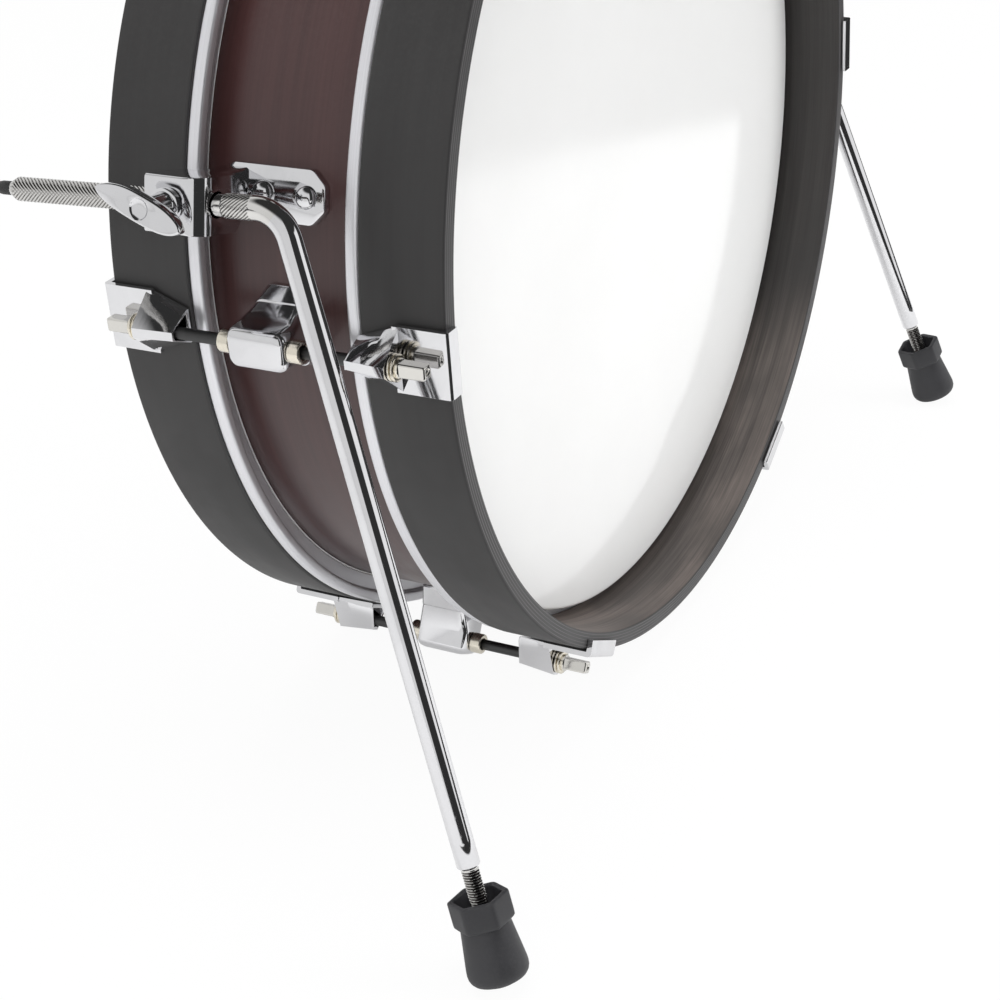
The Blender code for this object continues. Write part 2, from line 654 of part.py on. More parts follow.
def wing_bolt_mesh():
    """A wing bolt is a shank along +Z, a stepped hub and a leaf-shaped handle with a dimpled face."""
    shank_end = -ARM_BEYOND_ROD + SPUR_RADIUS + FIT
    sections = [
        (BOLT_RADIUS, shank_end), (BOLT_RADIUS, FIT), (WING_HUB_RADIUS, FIT + STEP),
        (WING_HUB_RADIUS, WING_HUB_STEP), (WING_NECK_RADIUS, WING_HUB_STEP + STEP),
        (WING_NECK_TOP_RADIUS, WING_BROW),
    ]
    bolt = lofted("wing_hub", [circle(radius, SMALL_STEPS + 2, height, "Z") for radius, height in sections])
    wings = lofted("wings", [
        wing_ring(WING_FOOT_SHARE, WING_FOOT), wing_ring(1, WING_BROW), wing_ring(1, WING_FACE),
    ])
    dimple = cylinder("dimple", DIMPLE_RADIUS, WING_FACE - DIMPLE_DEPTH, WING_FACE + DIMPLE_DEPTH,
                      SMALL_STEPS, "Z")
    return combined("wing_bolt", bolt, [("UNION", wings), ("DIFFERENCE", dimple)])


def leg_direction():
    """Return the way down the leg, in the spur's own frame with its straight rod along +Y."""
    return Vector((0, -math.cos(SPUR_BEND), -math.sin(SPUR_BEND)))


def spur_mesh():
    """A spur is one bent rod: chamfered rear end, straight run, bend, leg and a thinner threaded stud."""
    down = leg_direction()
    rear = Vector((0, 1, 0))
    reach = SPUR_BEND_RADIUS * math.tan(SPUR_BEND / 2)
    path = [
        (rear * SPUR_REAR_LENGTH, (SPUR_RADIUS - SPUR_REAR_CHAMFER) / SPUR_RADIUS),
        (rear * (SPUR_REAR_LENGTH - SPUR_REAR_TAPER), 1.0),
    ]
    centre = rear * reach + Vector((0, 0, -1)) * SPUR_BEND_RADIUS
    for i in range(SPUR_BEND_STEPS + 1):
        angle = SPUR_BEND * i / SPUR_BEND_STEPS
        offset = Vector((0, -math.sin(angle), math.cos(angle))) * SPUR_BEND_RADIUS
        path.append((centre + offset, 1.0))
    rod_end = SPUR_LEG_LENGTH - FOOT_LENGTH - STUD_SHOWING
    stud_share = STUD_RADIUS / SPUR_RADIUS
    stud_end = rod_end + STUD_SHOWING + STUD_GRIP
    chamfer = SPUR_RADIUS - STUD_RADIUS
    path += [
        (down * (rod_end - chamfer), 1.0), (down * rod_end, stud_share),
        (down * (stud_end - chamfer), stud_share), (down * stud_end, stud_share / 2),
    ]
    curve = bpy.data.curves.new("spur_path", "CURVE")
    curve.dimensions = "3D"
    curve.bevel_depth = SPUR_RADIUS
    curve.bevel_resolution = 4
    curve.use_fill_caps = True
    spline = curve.splines.new("POLY")
    spline.points.add(len(path) - 1)
    for point, (place_at, share) in zip(spline.points, path):
        point.co = (*place_at, 1)
        point.radius = share
    return smooth(meshed("spur_rod", curve))


def rod_end_mesh():
    """The rear end piece is a short tapered plug on the spur's axis."""
    start = SPUR_REAR_LENGTH + FIT
    rings = [(ROD_END_RADIUS, start), (ROD_END_RADIUS, start + ROD_END_LENGTH / 2),
             (ROD_END_TIP_RADIUS, start + ROD_END_LENGTH)]
    return smooth(lofted("rod_end", [circle(radius, SMALL_STEPS, along) for radius, along in rings]))


def foot_mesh(name, up):
    """A foot is a six-sided cup on a flared round body with a domed sole, cut flat where it stands.

    Its own +Z runs up the leg from the sole, and up is the floor's normal in that frame.
    """
    cup_base = FOOT_LENGTH - FOOT_CUP_HEIGHT
    half_flat, bore = FOOT_CUP_FLATS / 2, STUD_RADIUS + FIT

    def hexagon(reach, height):
        """Return a six-sided ring with a corner to the side and a flat to the front."""
        return polygon(reach, 6, FOOT_SIDES, height, "Z", math.pi / 6)

    dome_edge = math.asin(FOOT_RADIUS / FOOT_SOLE_RADIUS)
    rings = []
    for index in range(1, FOOT_DOME_RINGS + 1):
        angle = dome_edge * index / FOOT_DOME_RINGS
        height = FOOT_SOLE_RADIUS * (1 - math.cos(angle))
        rings.append(circle(FOOT_SOLE_RADIUS * math.sin(angle), FOOT_SIDES, height, "Z"))
    shoulder = FOOT_SOLE_RADIUS * (1 - math.cos(dome_edge)) + FOOT_CUP_CHAMFER
    rings += [
        circle(FOOT_RADIUS, FOOT_SIDES, shoulder, "Z"), circle(FOOT_NECK_RADIUS, FOOT_SIDES, cup_base, "Z"),
        hexagon(half_flat - FOOT_CUP_CHAMFER / 4, cup_base + STEP),
        hexagon(half_flat, cup_base + FOOT_CUP_CHAMFER),
        hexagon(half_flat, FOOT_LENGTH),
        hexagon(half_flat - FOOT_CUP_WALL, FOOT_LENGTH),
        hexagon(half_flat - FOOT_CUP_WALL, FOOT_LENGTH - FOOT_CUP_DEPTH),
        circle(bore, FOOT_SIDES, FOOT_LENGTH - FOOT_CUP_DEPTH, "Z"),
        circle(bore, FOOT_SIDES, FOOT_LENGTH - FOOT_BORE_DEPTH, "Z"),
    ]
    mesh = lofted(name, rings)
    form = bmesh.new()
    form.from_mesh(mesh)
    centre = Vector((0, 0, FOOT_SOLE_RADIUS))
    cut = bmesh.ops.bisect_plane(
        form, geom=form.verts[:] + form.edges[:] + form.faces[:], dist=WELD,
        plane_co=centre - up * (FOOT_SOLE_RADIUS - FOOT_FLAT), plane_no=-up, clear_outer=True)
    rim = [item for item in cut["geom_cut"] if isinstance(item, bmesh.types.BMEdge)]
    bmesh.ops.contextual_create(form, geom=rim)
    bmesh.ops.recalc_face_normals(form, faces=form.faces)
    form.to_mesh(mesh)
    form.free()
    return mesh


def spur_frame(side):
    """Return a spur's frame on the drum: its corner at the origin, its rod along +Y, its leg splayed out.

    The rod falls a little towards the rear.
    """
    across = side * SPUR_CIRCLE * math.cos(BRACKET_ANGLE)
    height = SPUR_CIRCLE * math.sin(BRACKET_ANGLE)
    corner = Vector((across, CLAMP_CENTRE - SPUR_CORNER_AHEAD, height))
    splay = Matrix.Rotation(-side * SPUR_SPLAY, 4, "Y")
    return Matrix.Translation(corner) @ splay @ Matrix.Rotation(-SPUR_TILT, 4, "X")


def foot_frame():
    """Return a foot's frame in its spur's frame: at the end of the leg, with +Z up the leg."""
    lean = SPUR_BEND - math.pi / 2
    return Matrix.Translation(leg_direction() * SPUR_LEG_LENGTH) @ Matrix.Rotation(lean, 4, "X")


def lean_angle():
    """Return how far the drum leans back to stand on both soles and on the batter hoop's rear edge."""
    sole_centre = spur_frame(1) @ foot_frame() @ Vector((0, 0, FOOT_SOLE_RADIUS))
    run = HOOP_FACE - HOOP_EDGE - sole_centre.y
    rise = HOOP_OUTER_RADIUS + sole_centre.z
    drop = FOOT_SOLE_RADIUS - FOOT_FLAT
    return math.asin(drop / math.hypot(run, rise)) - math.atan2(rise, run)


def build_spurs(root, lean):
    """Set a bracket, wing bolt, spur, end piece and foot on each side."""
    wing_bolt, spur, rod_end = wing_bolt_mesh(), spur_mesh(), rod_end_mesh()
    tilt = Matrix.Rotation(-lean, 3, "X")
    for name, side in SIDES.items():
        radial = bracket_turn(side)
        place(f"{name}_spur_bracket", bracket_mesh(side), CHROME, root, radial)
        bolt_seat = Vector((ARM_FACE, CLAMP_CENTRE, clamp_drop(side)))
        outward = Matrix.Translation(bolt_seat) @ Matrix.Rotation(math.pi / 2, 4, "Y")
        bolt_frame = radial @ outward @ Matrix.Rotation(math.pi / 2 + side * WING_TURN, 4, "Z")
        place(f"{name}_wing_bolt", wing_bolt, CHROME, root, bolt_frame)
        frame = spur_frame(side)
        rod = place(f"{name}_spur_rod", spur, CHROME, root, frame)
        place(f"{name}_rod_end", rod_end, RUBBER, root, frame)
        up = (tilt @ (frame @ foot_frame()).to_3x3()).inverted() @ Vector((0, 0, 1))
        foot = foot_mesh(f"{name}_spur_foot", up)
        place(f"{name}_spur_foot", foot, RUBBER, rod, foot_frame())


def stand_on_floor(root):
    """Put the drum's lowest point on the floor and the middle of its box over the origin."""
    bpy.context.view_layer.update()
    graph = bpy.context.evaluated_depsgraph_get()
    lows, highs = Vector((math.inf,) * 3), Vector((-math.inf,) * 3)
    for part in PARTS.objects:
        if part.type != "MESH":
            continue
        shape = part.evaluated_get(graph)
        for vertex in shape.to_mesh().vertices:
            point = part.matrix_world @ vertex.co
            lows = Vector(map(min, lows, point))
            highs = Vector(map(max, highs, point))
        shape.to_mesh_clear()
    root.location -= Vector(((lows.x + highs.x) / 2, (lows.y + highs.y) / 2, lows.z))


def clear_scene():
    """Remove every object that the scene starts with."""
    for leftover in list(bpy.data.objects):
        bpy.data.objects.remove(leftover)


clear_scene()
PARTS = bpy.data.collections.new("bass_drum")
CUTTERS = bpy.data.collections.new("bass_drum_cutters")
for group in (PARTS, CUTTERS):
    bpy.context.scene.collection.children.link(group)

LACQUER = finish("burgundy_lacquer", (0.075, 0.022, 0.022), 0.38)
PLY_BLACK = finish("charcoal_ply", (0.035, 0.034, 0.034), 0.5)
FILM_WHITE = finish("white_film", (0.88, 0.88, 0.87), 0.3)
ALUMINIUM = finish("bright_aluminium", (0.78, 0.79, 0.81), 0.25, 1.0)
CHROME = finish("chrome", (0.72, 0.72, 0.73), 0.08, 1.0)
NICKEL = finish("pale_nickel", (0.82, 0.79, 0.72), 0.22, 1.0)
ROD_STEEL = finish("dark_steel", (0.12, 0.12, 0.12), 0.35, 1.0)
RUBBER = finish("charcoal_rubber", (0.06, 0.06, 0.065), 0.6)

drum = bpy.data.objects.new("drum", None)
PARTS.objects.link(drum)
drum_lean = lean_angle()
drum.rotation_euler = (-drum_lean, 0, 0)
build_shell(drum)
for head_side, head_sign in HEADS.items():
    build_head(head_side, head_sign, drum)
    build_hoop(head_side, head_sign, drum)
build_tensioning(drum)
build_spurs(drum, drum_lean)
stand_on_floor(drum)
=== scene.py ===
"""The looks of a compact bass drum: the fine surface and the finish of every piece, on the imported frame.

Lengths are in metres. Shapes are worked out in the drum's own frame, whose +Y runs along the axis from the
front head to the batter head with the middle of the shell at its origin. They are then carried into the row
frame, where the drum leans back on its two feet and on the rear edge of its batter hoop.
"""
import json
import logging
import math
from collections.abc import Callable, Sequence
from dataclasses import dataclass, field
from enum import Enum

import bmesh
import bpy
import numpy as np
from bpy.types import Material, Mesh, Node, NodeSocket, NodeTree, Object
from mathutils import Matrix, Vector


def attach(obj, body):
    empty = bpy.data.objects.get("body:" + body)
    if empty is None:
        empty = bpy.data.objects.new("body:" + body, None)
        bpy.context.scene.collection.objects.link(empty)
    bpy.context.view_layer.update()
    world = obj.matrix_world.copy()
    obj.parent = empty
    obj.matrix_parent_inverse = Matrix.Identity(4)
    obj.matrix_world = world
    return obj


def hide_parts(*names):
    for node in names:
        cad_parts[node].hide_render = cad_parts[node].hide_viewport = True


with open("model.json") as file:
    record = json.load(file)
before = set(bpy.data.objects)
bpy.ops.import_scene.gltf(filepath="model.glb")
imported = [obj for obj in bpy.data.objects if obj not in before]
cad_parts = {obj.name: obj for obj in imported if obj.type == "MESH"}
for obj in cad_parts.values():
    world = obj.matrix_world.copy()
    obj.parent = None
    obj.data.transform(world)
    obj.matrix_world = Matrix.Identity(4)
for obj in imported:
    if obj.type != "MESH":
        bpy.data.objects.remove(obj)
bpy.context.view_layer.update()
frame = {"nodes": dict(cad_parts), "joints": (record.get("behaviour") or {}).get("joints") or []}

MM = 0.001
LOG = logging.getLogger("bass_drum")
TURN = 2 * math.pi


class Spelled(Enum):
    """A choice whose name is part of the nodes' names."""

    @property
    def word(self) -> str:
        """Return the name as the nodes spell it."""
        return self.name.lower()


class Head(Spelled):
    """The two ends of the drum, with the way each faces along the axis."""

    FRONT = -1
    BATTER = 1


class Side(Spelled):
    """The two sides that carry a spur, with the way each lies along X."""

    LEFT = -1
    RIGHT = 1


class Slot(Enum):
    """The record's material slots."""

    SHELL = "shell_lacquer"
    HOOP = "hoop_ply"
    FILM = "head_film"
    HEAD_HOOP = "head_hoop_aluminium"
    CASTING = "casting_chrome"
    NUT = "nut_nickel"
    ROD = "rod_steel"
    SPUR = "spur_chrome"
    FOOT = "foot_rubber"
    END = "end_plastic"


class Ends(Enum):
    """How a grid's first and last rows are closed: with a flat face each, or by joining the two."""

    CAPPED = "capped"
    JOINED = "joined"


# Surfaces


def rounded(corners: Sequence[tuple[float, float]], setback: float | Sequence[float],
            steps: int = 4) -> np.ndarray:
    """Round the corners of a closed outline.

    Each corner P becomes the quadratic arc from P + t a to P + t b with P as its control point, where a and b
    are the unit directions to its two neighbours and t is the setback.

    Args:
        corners: The outline's corners in order.
        setback: How far the rounding reaches from each corner, once for all or one for each.
        steps: Pieces in each arc.

    Returns:
        The rounded outline as an array of points.
    """
    points = np.asarray(corners, float)
    reach = np.broadcast_to(np.asarray(setback, float), (len(points),))[:, None]
    before = np.roll(points, 1, axis=0) - points
    after = np.roll(points, -1, axis=0) - points
    start = points + before / np.linalg.norm(before, axis=1, keepdims=True) * reach
    end = points + after / np.linalg.norm(after, axis=1, keepdims=True) * reach
    share = np.linspace(0, 1, steps + 1)[None, :, None]
    pull = 2 * share * (1 - share) * points[:, None]
    return ((1 - share) ** 2 * start[:, None] + pull + share**2 * end[:, None]).reshape(-1, 2)


def revolved(profile: np.ndarray, steps: int) -> np.ndarray:
    """Carry a profile of (radius, height) once round the Y axis, as (r cos a, h, r sin a).

    Args:
        profile: Radii and heights, one row for each point.
        steps: Columns round the axis.

    Returns:
        A net of points, profile by steps.
    """
    angle = np.linspace(0, TURN, steps, endpoint=False)
    radius, height = profile[:, :1], profile[:, 1:2]
    return np.stack([radius * np.cos(angle), height + 0 * angle, radius * np.sin(angle)], axis=-1)


def squared_ring(angle: np.ndarray, power: np.ndarray) -> np.ndarray:
    """Give a superellipse's radius, (|cos a|^p + |sin a|^p)^(-1/p): round at p = 2 and squarer as p grows.

    Args:
        angle: Angles round the ring.
        power: The exponent of each ring.

    Returns:
        Radii for a ring of half width one, rings by angles.
    """
    cosine, sine = np.abs(np.cos(angle))[None], np.abs(np.sin(angle))[None]
    exponent = power[:, None]
    return (cosine**exponent + sine**exponent) ** (-1 / exponent)


def hexagonal_ring(angle: np.ndarray, power: float) -> np.ndarray:
    """Give a soft hexagon's radius, the p-norm of cos(a), cos(a - 60) and cos(a - 120) to the power -1/p.

    Args:
        angle: Angles round the ring, with a flat facing angle zero.
        power: The exponent, higher for sharper corners.

    Returns:
        Radii for a hexagon of half flat one.
    """
    leans = angle[None] - np.radians([[0.0], [60.0], [120.0]])
    return (np.abs(np.cos(leans)) ** power).sum(axis=0) ** (-1 / power)


def slabs(lengths: np.ndarray, widths: np.ndarray, corners: np.ndarray,
          steps: int = 6) -> tuple[np.ndarray, np.ndarray]:
    """Work out round-cornered rectangles, each corner an arc (c cos a, c sin a) about its own centre.

    Args:
        lengths: Each rectangle's length.
        widths: Each rectangle's width.
        corners: Each rectangle's corner radius.
        steps: Points in each arc.

    Returns:
        Places along the length and across it, rectangles by points.
    """
    quarter = np.arange(4).repeat(steps)
    angle = (quarter + np.tile(np.linspace(0, 1, steps), 4)) * math.pi / 2
    ahead, aside = np.array([1, -1, -1, 1])[quarter], np.array([1, 1, -1, -1])[quarter]
    along = (lengths / 2 - corners)[:, None] * ahead + corners[:, None] * np.cos(angle)
    across = (widths / 2 - corners)[:, None] * aside + corners[:, None] * np.sin(angle)
    return along, across


def ridge(position: np.ndarray) -> np.ndarray:
    """Give a triangle wave of period one that is 1 at whole numbers and 0 halfway between them."""
    return np.abs(2 * (position % 1) - 1)


def surface(name: str, points: np.ndarray, ends: Ends = Ends.CAPPED, finish: int | Sequence[int] = 0,
            sharp: float | None = None, groove: np.ndarray | None = None) -> Mesh:
    """Make a closed mesh of a grid of points whose columns run once round.

    Args:
        name: The mesh's name.
        points: Rows by columns by three.
        ends: How the first and last rows are closed.
        finish: The material index, once for all or one for each band between rows.
        sharp: Edges past this many degrees stay hard. Without it every edge is smooth.
        groove: How deep each point lies in a cut pattern, from 0 to 1.

    Returns:
        The mesh, with its faces pointing out.
    """
    rows, columns = points.shape[:2]
    index = np.arange(rows * columns).reshape(rows, columns)
    ring = np.concatenate([index, index[:1]]) if ends is Ends.JOINED else index
    ring = np.concatenate([ring, ring[:, :1]], axis=1)
    quads = np.stack([ring[:-1, :-1], ring[:-1, 1:], ring[1:, 1:], ring[1:, :-1]], axis=-1)
    bands = np.broadcast_to(np.asarray(finish), (len(quads),))
    faces, finishes = quads.reshape(-1, 4).tolist(), np.repeat(bands, columns).tolist()
    if ends is Ends.CAPPED:
        faces += [index[0].tolist(), index[-1].tolist()]
        finishes += [int(bands[0]), int(bands[-1])]
    mesh = bpy.data.meshes.new(name)
    mesh.from_pydata(points.reshape(-1, 3).tolist(), [], faces)
    mesh.polygons.foreach_set("material_index", np.asarray(finishes, np.int32))
    if groove is not None:
        layer = mesh.attributes.new("groove", "FLOAT", "POINT")
        layer.data.foreach_set("value", groove.reshape(-1).astype(np.float32))
    form = bmesh.new()
    form.from_mesh(mesh)
    bmesh.ops.recalc_face_normals(form, faces=form.faces)
    form.to_mesh(mesh)
    form.free()
    mesh.shade_smooth()
    if sharp is not None:
        mesh.set_sharp_from_angle(angle=math.radians(sharp))
    return mesh


def prism(name: str, outline: np.ndarray, low: float, high: float, finish: int = 0) -> Mesh:
    """Carry a flat outline of X and Y from one Z to another, with both ends closed.

    Args:
        name: The mesh's name.
        outline: The outline's points.
        low: The Z of one end.
        high: The Z of the other.
        finish: The material index.

    Returns:
        The mesh.
    """
    levels = [np.column_stack([outline, np.full(len(outline), level)]) for level in (low, high)]
    return surface(name, np.stack(levels), finish=finish)


def joined(name: str, meshes: Sequence[Mesh]) -> Mesh:
    """Gather several meshes in one, each still its own closed surface.

    Args:
        name: The new mesh's name.
        meshes: The meshes, which are removed.

    Returns:
        The mesh.
    """
    form = bmesh.new()
    for mesh in meshes:
        form.from_mesh(mesh)
        bpy.data.meshes.remove(mesh)
    result = bpy.data.meshes.new(name)
    form.to_mesh(result)
    form.free()
    result.shade_smooth()
    return result


def bar(radius: float, start: float, end: float, place: Matrix) -> Mesh:
    """Return a round bar to bore a hole with.

    Args:
        radius: The bar's radius.
        start: Where it starts along its own +Y.
        end: Where it ends.
        place: Its frame.

    Returns:
        A closed mesh.
    """
    mesh = surface("bore", revolved(np.array([[radius, start], [radius, end]]), 40))
    mesh.transform(place)
    return mesh


def bored(mesh: Mesh, bars: Sequence[Mesh]) -> Mesh:
    """Cut bars out of a mesh.

    Args:
        mesh: The solid.
        bars: What is taken out of it.

    Returns:
        A new mesh with the holes in it.
    """
    work = bpy.data.objects.new("work", mesh)
    helpers = [bpy.data.objects.new("bar", cutter) for cutter in bars]
    for helper in [work, *helpers]:
        bpy.context.scene.collection.objects.link(helper)
    for helper in helpers:
        cut = work.modifiers.new("bore", "BOOLEAN")
        cut.operation = "DIFFERENCE"
        cut.object = helper
    bpy.context.view_layer.update()
    result = bpy.data.meshes.new_from_object(work.evaluated_get(bpy.context.evaluated_depsgraph_get()))
    result.name = mesh.name
    for helper in [work, *helpers]:
        leftover = helper.data
        bpy.data.objects.remove(helper)
        bpy.data.meshes.remove(leftover)
    return result


def eased(piece: Object, width: float, segments: int = 3, angle: float = 30.0) -> None:
    """Round a piece's hard edges, with its flats kept flat.

    Args:
        piece: The piece.
        width: The rounding's width.
        segments: Facets across the rounding.
        angle: Edges sharper than this many degrees are rounded.
    """
    bevel = piece.modifiers.new("eased_edges", "BEVEL")
    bevel.width = width
    bevel.segments = segments
    bevel.limit_method = "ANGLE"
    bevel.angle_limit = math.radians(angle)
    bevel.harden_normals = True


# Where things are


@dataclass(frozen=True)
class DrumFrame:
    """The drum's own frame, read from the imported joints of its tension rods.

    Attributes:
        matrix: Carries the drum's frame into the row frame.
        rod_circle: The radius on which the tension rods lie.
        lugs: How many lugs stand round the shell.
    """

    matrix: Matrix
    rod_circle: float
    lugs: int

    @classmethod
    def from_joints(cls, joints: Sequence[dict]) -> "DrumFrame":
        """Work out the frame from the rods, which lie parallel to the axis and evenly round it.

        Args:
            joints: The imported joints.

        Returns:
            The drum's frame.
        """
        turns = [joint for joint in joints if "front_tension_rod" in joint["child"]]
        places = np.array([joint["pos_m"] for joint in turns])
        centre = places.mean(axis=0)
        axis = Vector(turns[0]["axis"]).normalized()
        across = Vector((1, 0, 0))
        matrix = Matrix((across, axis, across.cross(axis))).transposed().to_4x4()
        matrix.translation = Vector(centre)
        return cls(matrix, float(np.linalg.norm(places - centre, axis=1).mean()), len(turns))

    def span(self, node: str) -> tuple[float, float, float, float]:
        """Measure a round CAD node.

        Args:
            node: The node's name.

        Returns:
            Its least and greatest radius, and its least and greatest place along the axis.
        """
        mesh = frame["nodes"][node].data
        points = np.empty(len(mesh.vertices) * 3, np.float32)
        mesh.vertices.foreach_get("co", points)
        turned = np.array(self.matrix.inverted())
        own = points.reshape(-1, 3) @ turned[:3, :3].T + turned[:3, 3]
        radius = np.hypot(own[:, 0], own[:, 2])
        return float(radius.min()), float(radius.max()), float(own[:, 1].min()), float(own[:, 1].max())

    def band(self, node: str) -> tuple[float, float, float, float]:
        """Return a head's node as its least and greatest radius and its distances from the middle."""
        inner, outer, low, high = self.span(node)
        return inner, outer, min(abs(low), abs(high)), max(abs(low), abs(high))

    def around(self, angle: float) -> Matrix:
        """Return the frame at an angle round the axis: +X outwards, +Y along the axis, +Z on round it."""
        return self.matrix @ Matrix.Rotation(-angle, 4, "Y")

    def facing(self, head: Head) -> Matrix:
        """Return the frame whose +Y points out of a head."""
        return self.matrix if head is Head.BATTER else self.matrix @ Matrix.Rotation(math.pi, 4, "X")

    def from_face(self, head: Head, angle: float, face: float) -> Matrix:
        """Return a claw's frame: +X outwards, and +Y from a hoop's face towards the shell.

        Args:
            head: The head that the hoop holds.
            angle: The angle round the axis.
            face: The hoop face's distance from the middle of the shell.

        Returns:
            The frame in the row frame.
        """
        over = Matrix.Rotation(math.pi, 4, "X") if head is Head.BATTER else Matrix.Identity(4)
        return self.around(angle) @ Matrix.Translation((0, head.value * face, 0)) @ over

    def lug_angles(self) -> list[float]:
        """Return each lug's angle, from the +X side upwards."""
        return [TURN * number / self.lugs for number in range(self.lugs)]


def joint_named(name: str) -> dict:
    """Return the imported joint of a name."""
    return next(joint for joint in frame["joints"] if joint["name"] == name)


# Shader graphs


@dataclass(frozen=True)
class Graph:
    """A shorthand for filling one node tree."""

    tree: NodeTree

    def node(self, kind: str, values: dict | None = None, **settings: object) -> Node:
        """Add a node.

        Args:
            kind: The node's type, without its usual prefix.
            values: Values or sockets for its inputs, by name or number.
            **settings: The node's own properties.

        Returns:
            The node.
        """
        made = self.tree.nodes.new(f"ShaderNode{kind}")
        for key, value in settings.items():
            setattr(made, key, value)
        for key, value in (values or {}).items():
            self.feed(made.inputs[key], value)
        return made

    def feed(self, socket: NodeSocket, value: object) -> None:
        """Link a socket to an input, or set a plain value on it."""
        if isinstance(value, NodeSocket):
            self.tree.links.new(value, socket)
        else:
            socket.default_value = value

    def math(self, operation: str, *values: object, clamp: bool = False) -> NodeSocket:
        """Add a Math node and return its result."""
        return self.node("Math", dict(enumerate(values)), operation=operation, use_clamp=clamp).outputs[0]

    def remap(self, value: object, low: float, high: float, new_low: float, new_high: float,
              smooth: bool = False) -> NodeSocket:
        """Carry a value from one range to another.

        Args:
            value: The value's socket.
            low: The start of its range.
            high: The end of its range.
            new_low: What the start becomes.
            new_high: What the end becomes.
            smooth: Whether the change eases in and out.

        Returns:
            The new value's socket.
        """
        kind = "SMOOTHSTEP" if smooth else "LINEAR"
        values = {0: value, 1: low, 2: high, 3: new_low, 4: new_high}
        return self.node("MapRange", values, interpolation_type=kind).outputs[0]

    def blend(self, share: object, first: object, second: object) -> NodeSocket:
        """Mix two colours.

        Args:
            share: How much of the second shows.
            first: The first colour or its socket.
            second: The second colour or its socket.

        Returns:
            The mixed colour's socket.
        """
        values = {0: share, 6: opaque(first), 7: opaque(second)}
        return self.node("Mix", values, data_type="RGBA").outputs[2]

    def plus(self, base: object, *shares: tuple[object, float]) -> NodeSocket:
        """Add shares of several values to a base, and return the sum."""
        for value, share in shares:
            base = self.math("MULTIPLY_ADD", value, share, base)
        return base

    def noise(self, place: object, scale: object, detail: float = 3.0,
              roughness: float = 0.5) -> NodeSocket:
        """Add a noise texture and return its value.

        Args:
            place: The socket of the point to read.
            scale: Features per metre, or their socket.
            detail: Octaves.
            roughness: How strong the finer octaves are.

        Returns:
            The value's socket.
        """
        values = {"Vector": place, "Scale": scale, "Detail": detail, "Roughness": roughness}
        return self.node("TexNoise", values).outputs[0]

    def stretch(self, place: object, scales: object) -> NodeSocket:
        """Multiply a point's coordinates, and return the new point."""
        return self.node("VectorMath", {0: place, 1: scales}, operation="MULTIPLY").outputs[0]

    def shared(self, group: NodeTree, **values: object) -> Node:
        """Place a shared group with its own values.

        Args:
            group: The group.
            **values: Values or sockets for its inputs.

        Returns:
            The group's node.
        """
        made = self.tree.nodes.new("ShaderNodeGroup")
        made.node_tree = group
        for key, value in values.items():
            self.feed(made.inputs[key], value)
        return made


def opaque(colour: object) -> object:
    """Return a colour with full alpha, or a socket as it is."""
    return (*colour, 1.0) if isinstance(colour, tuple) and len(colour) == 3 else colour


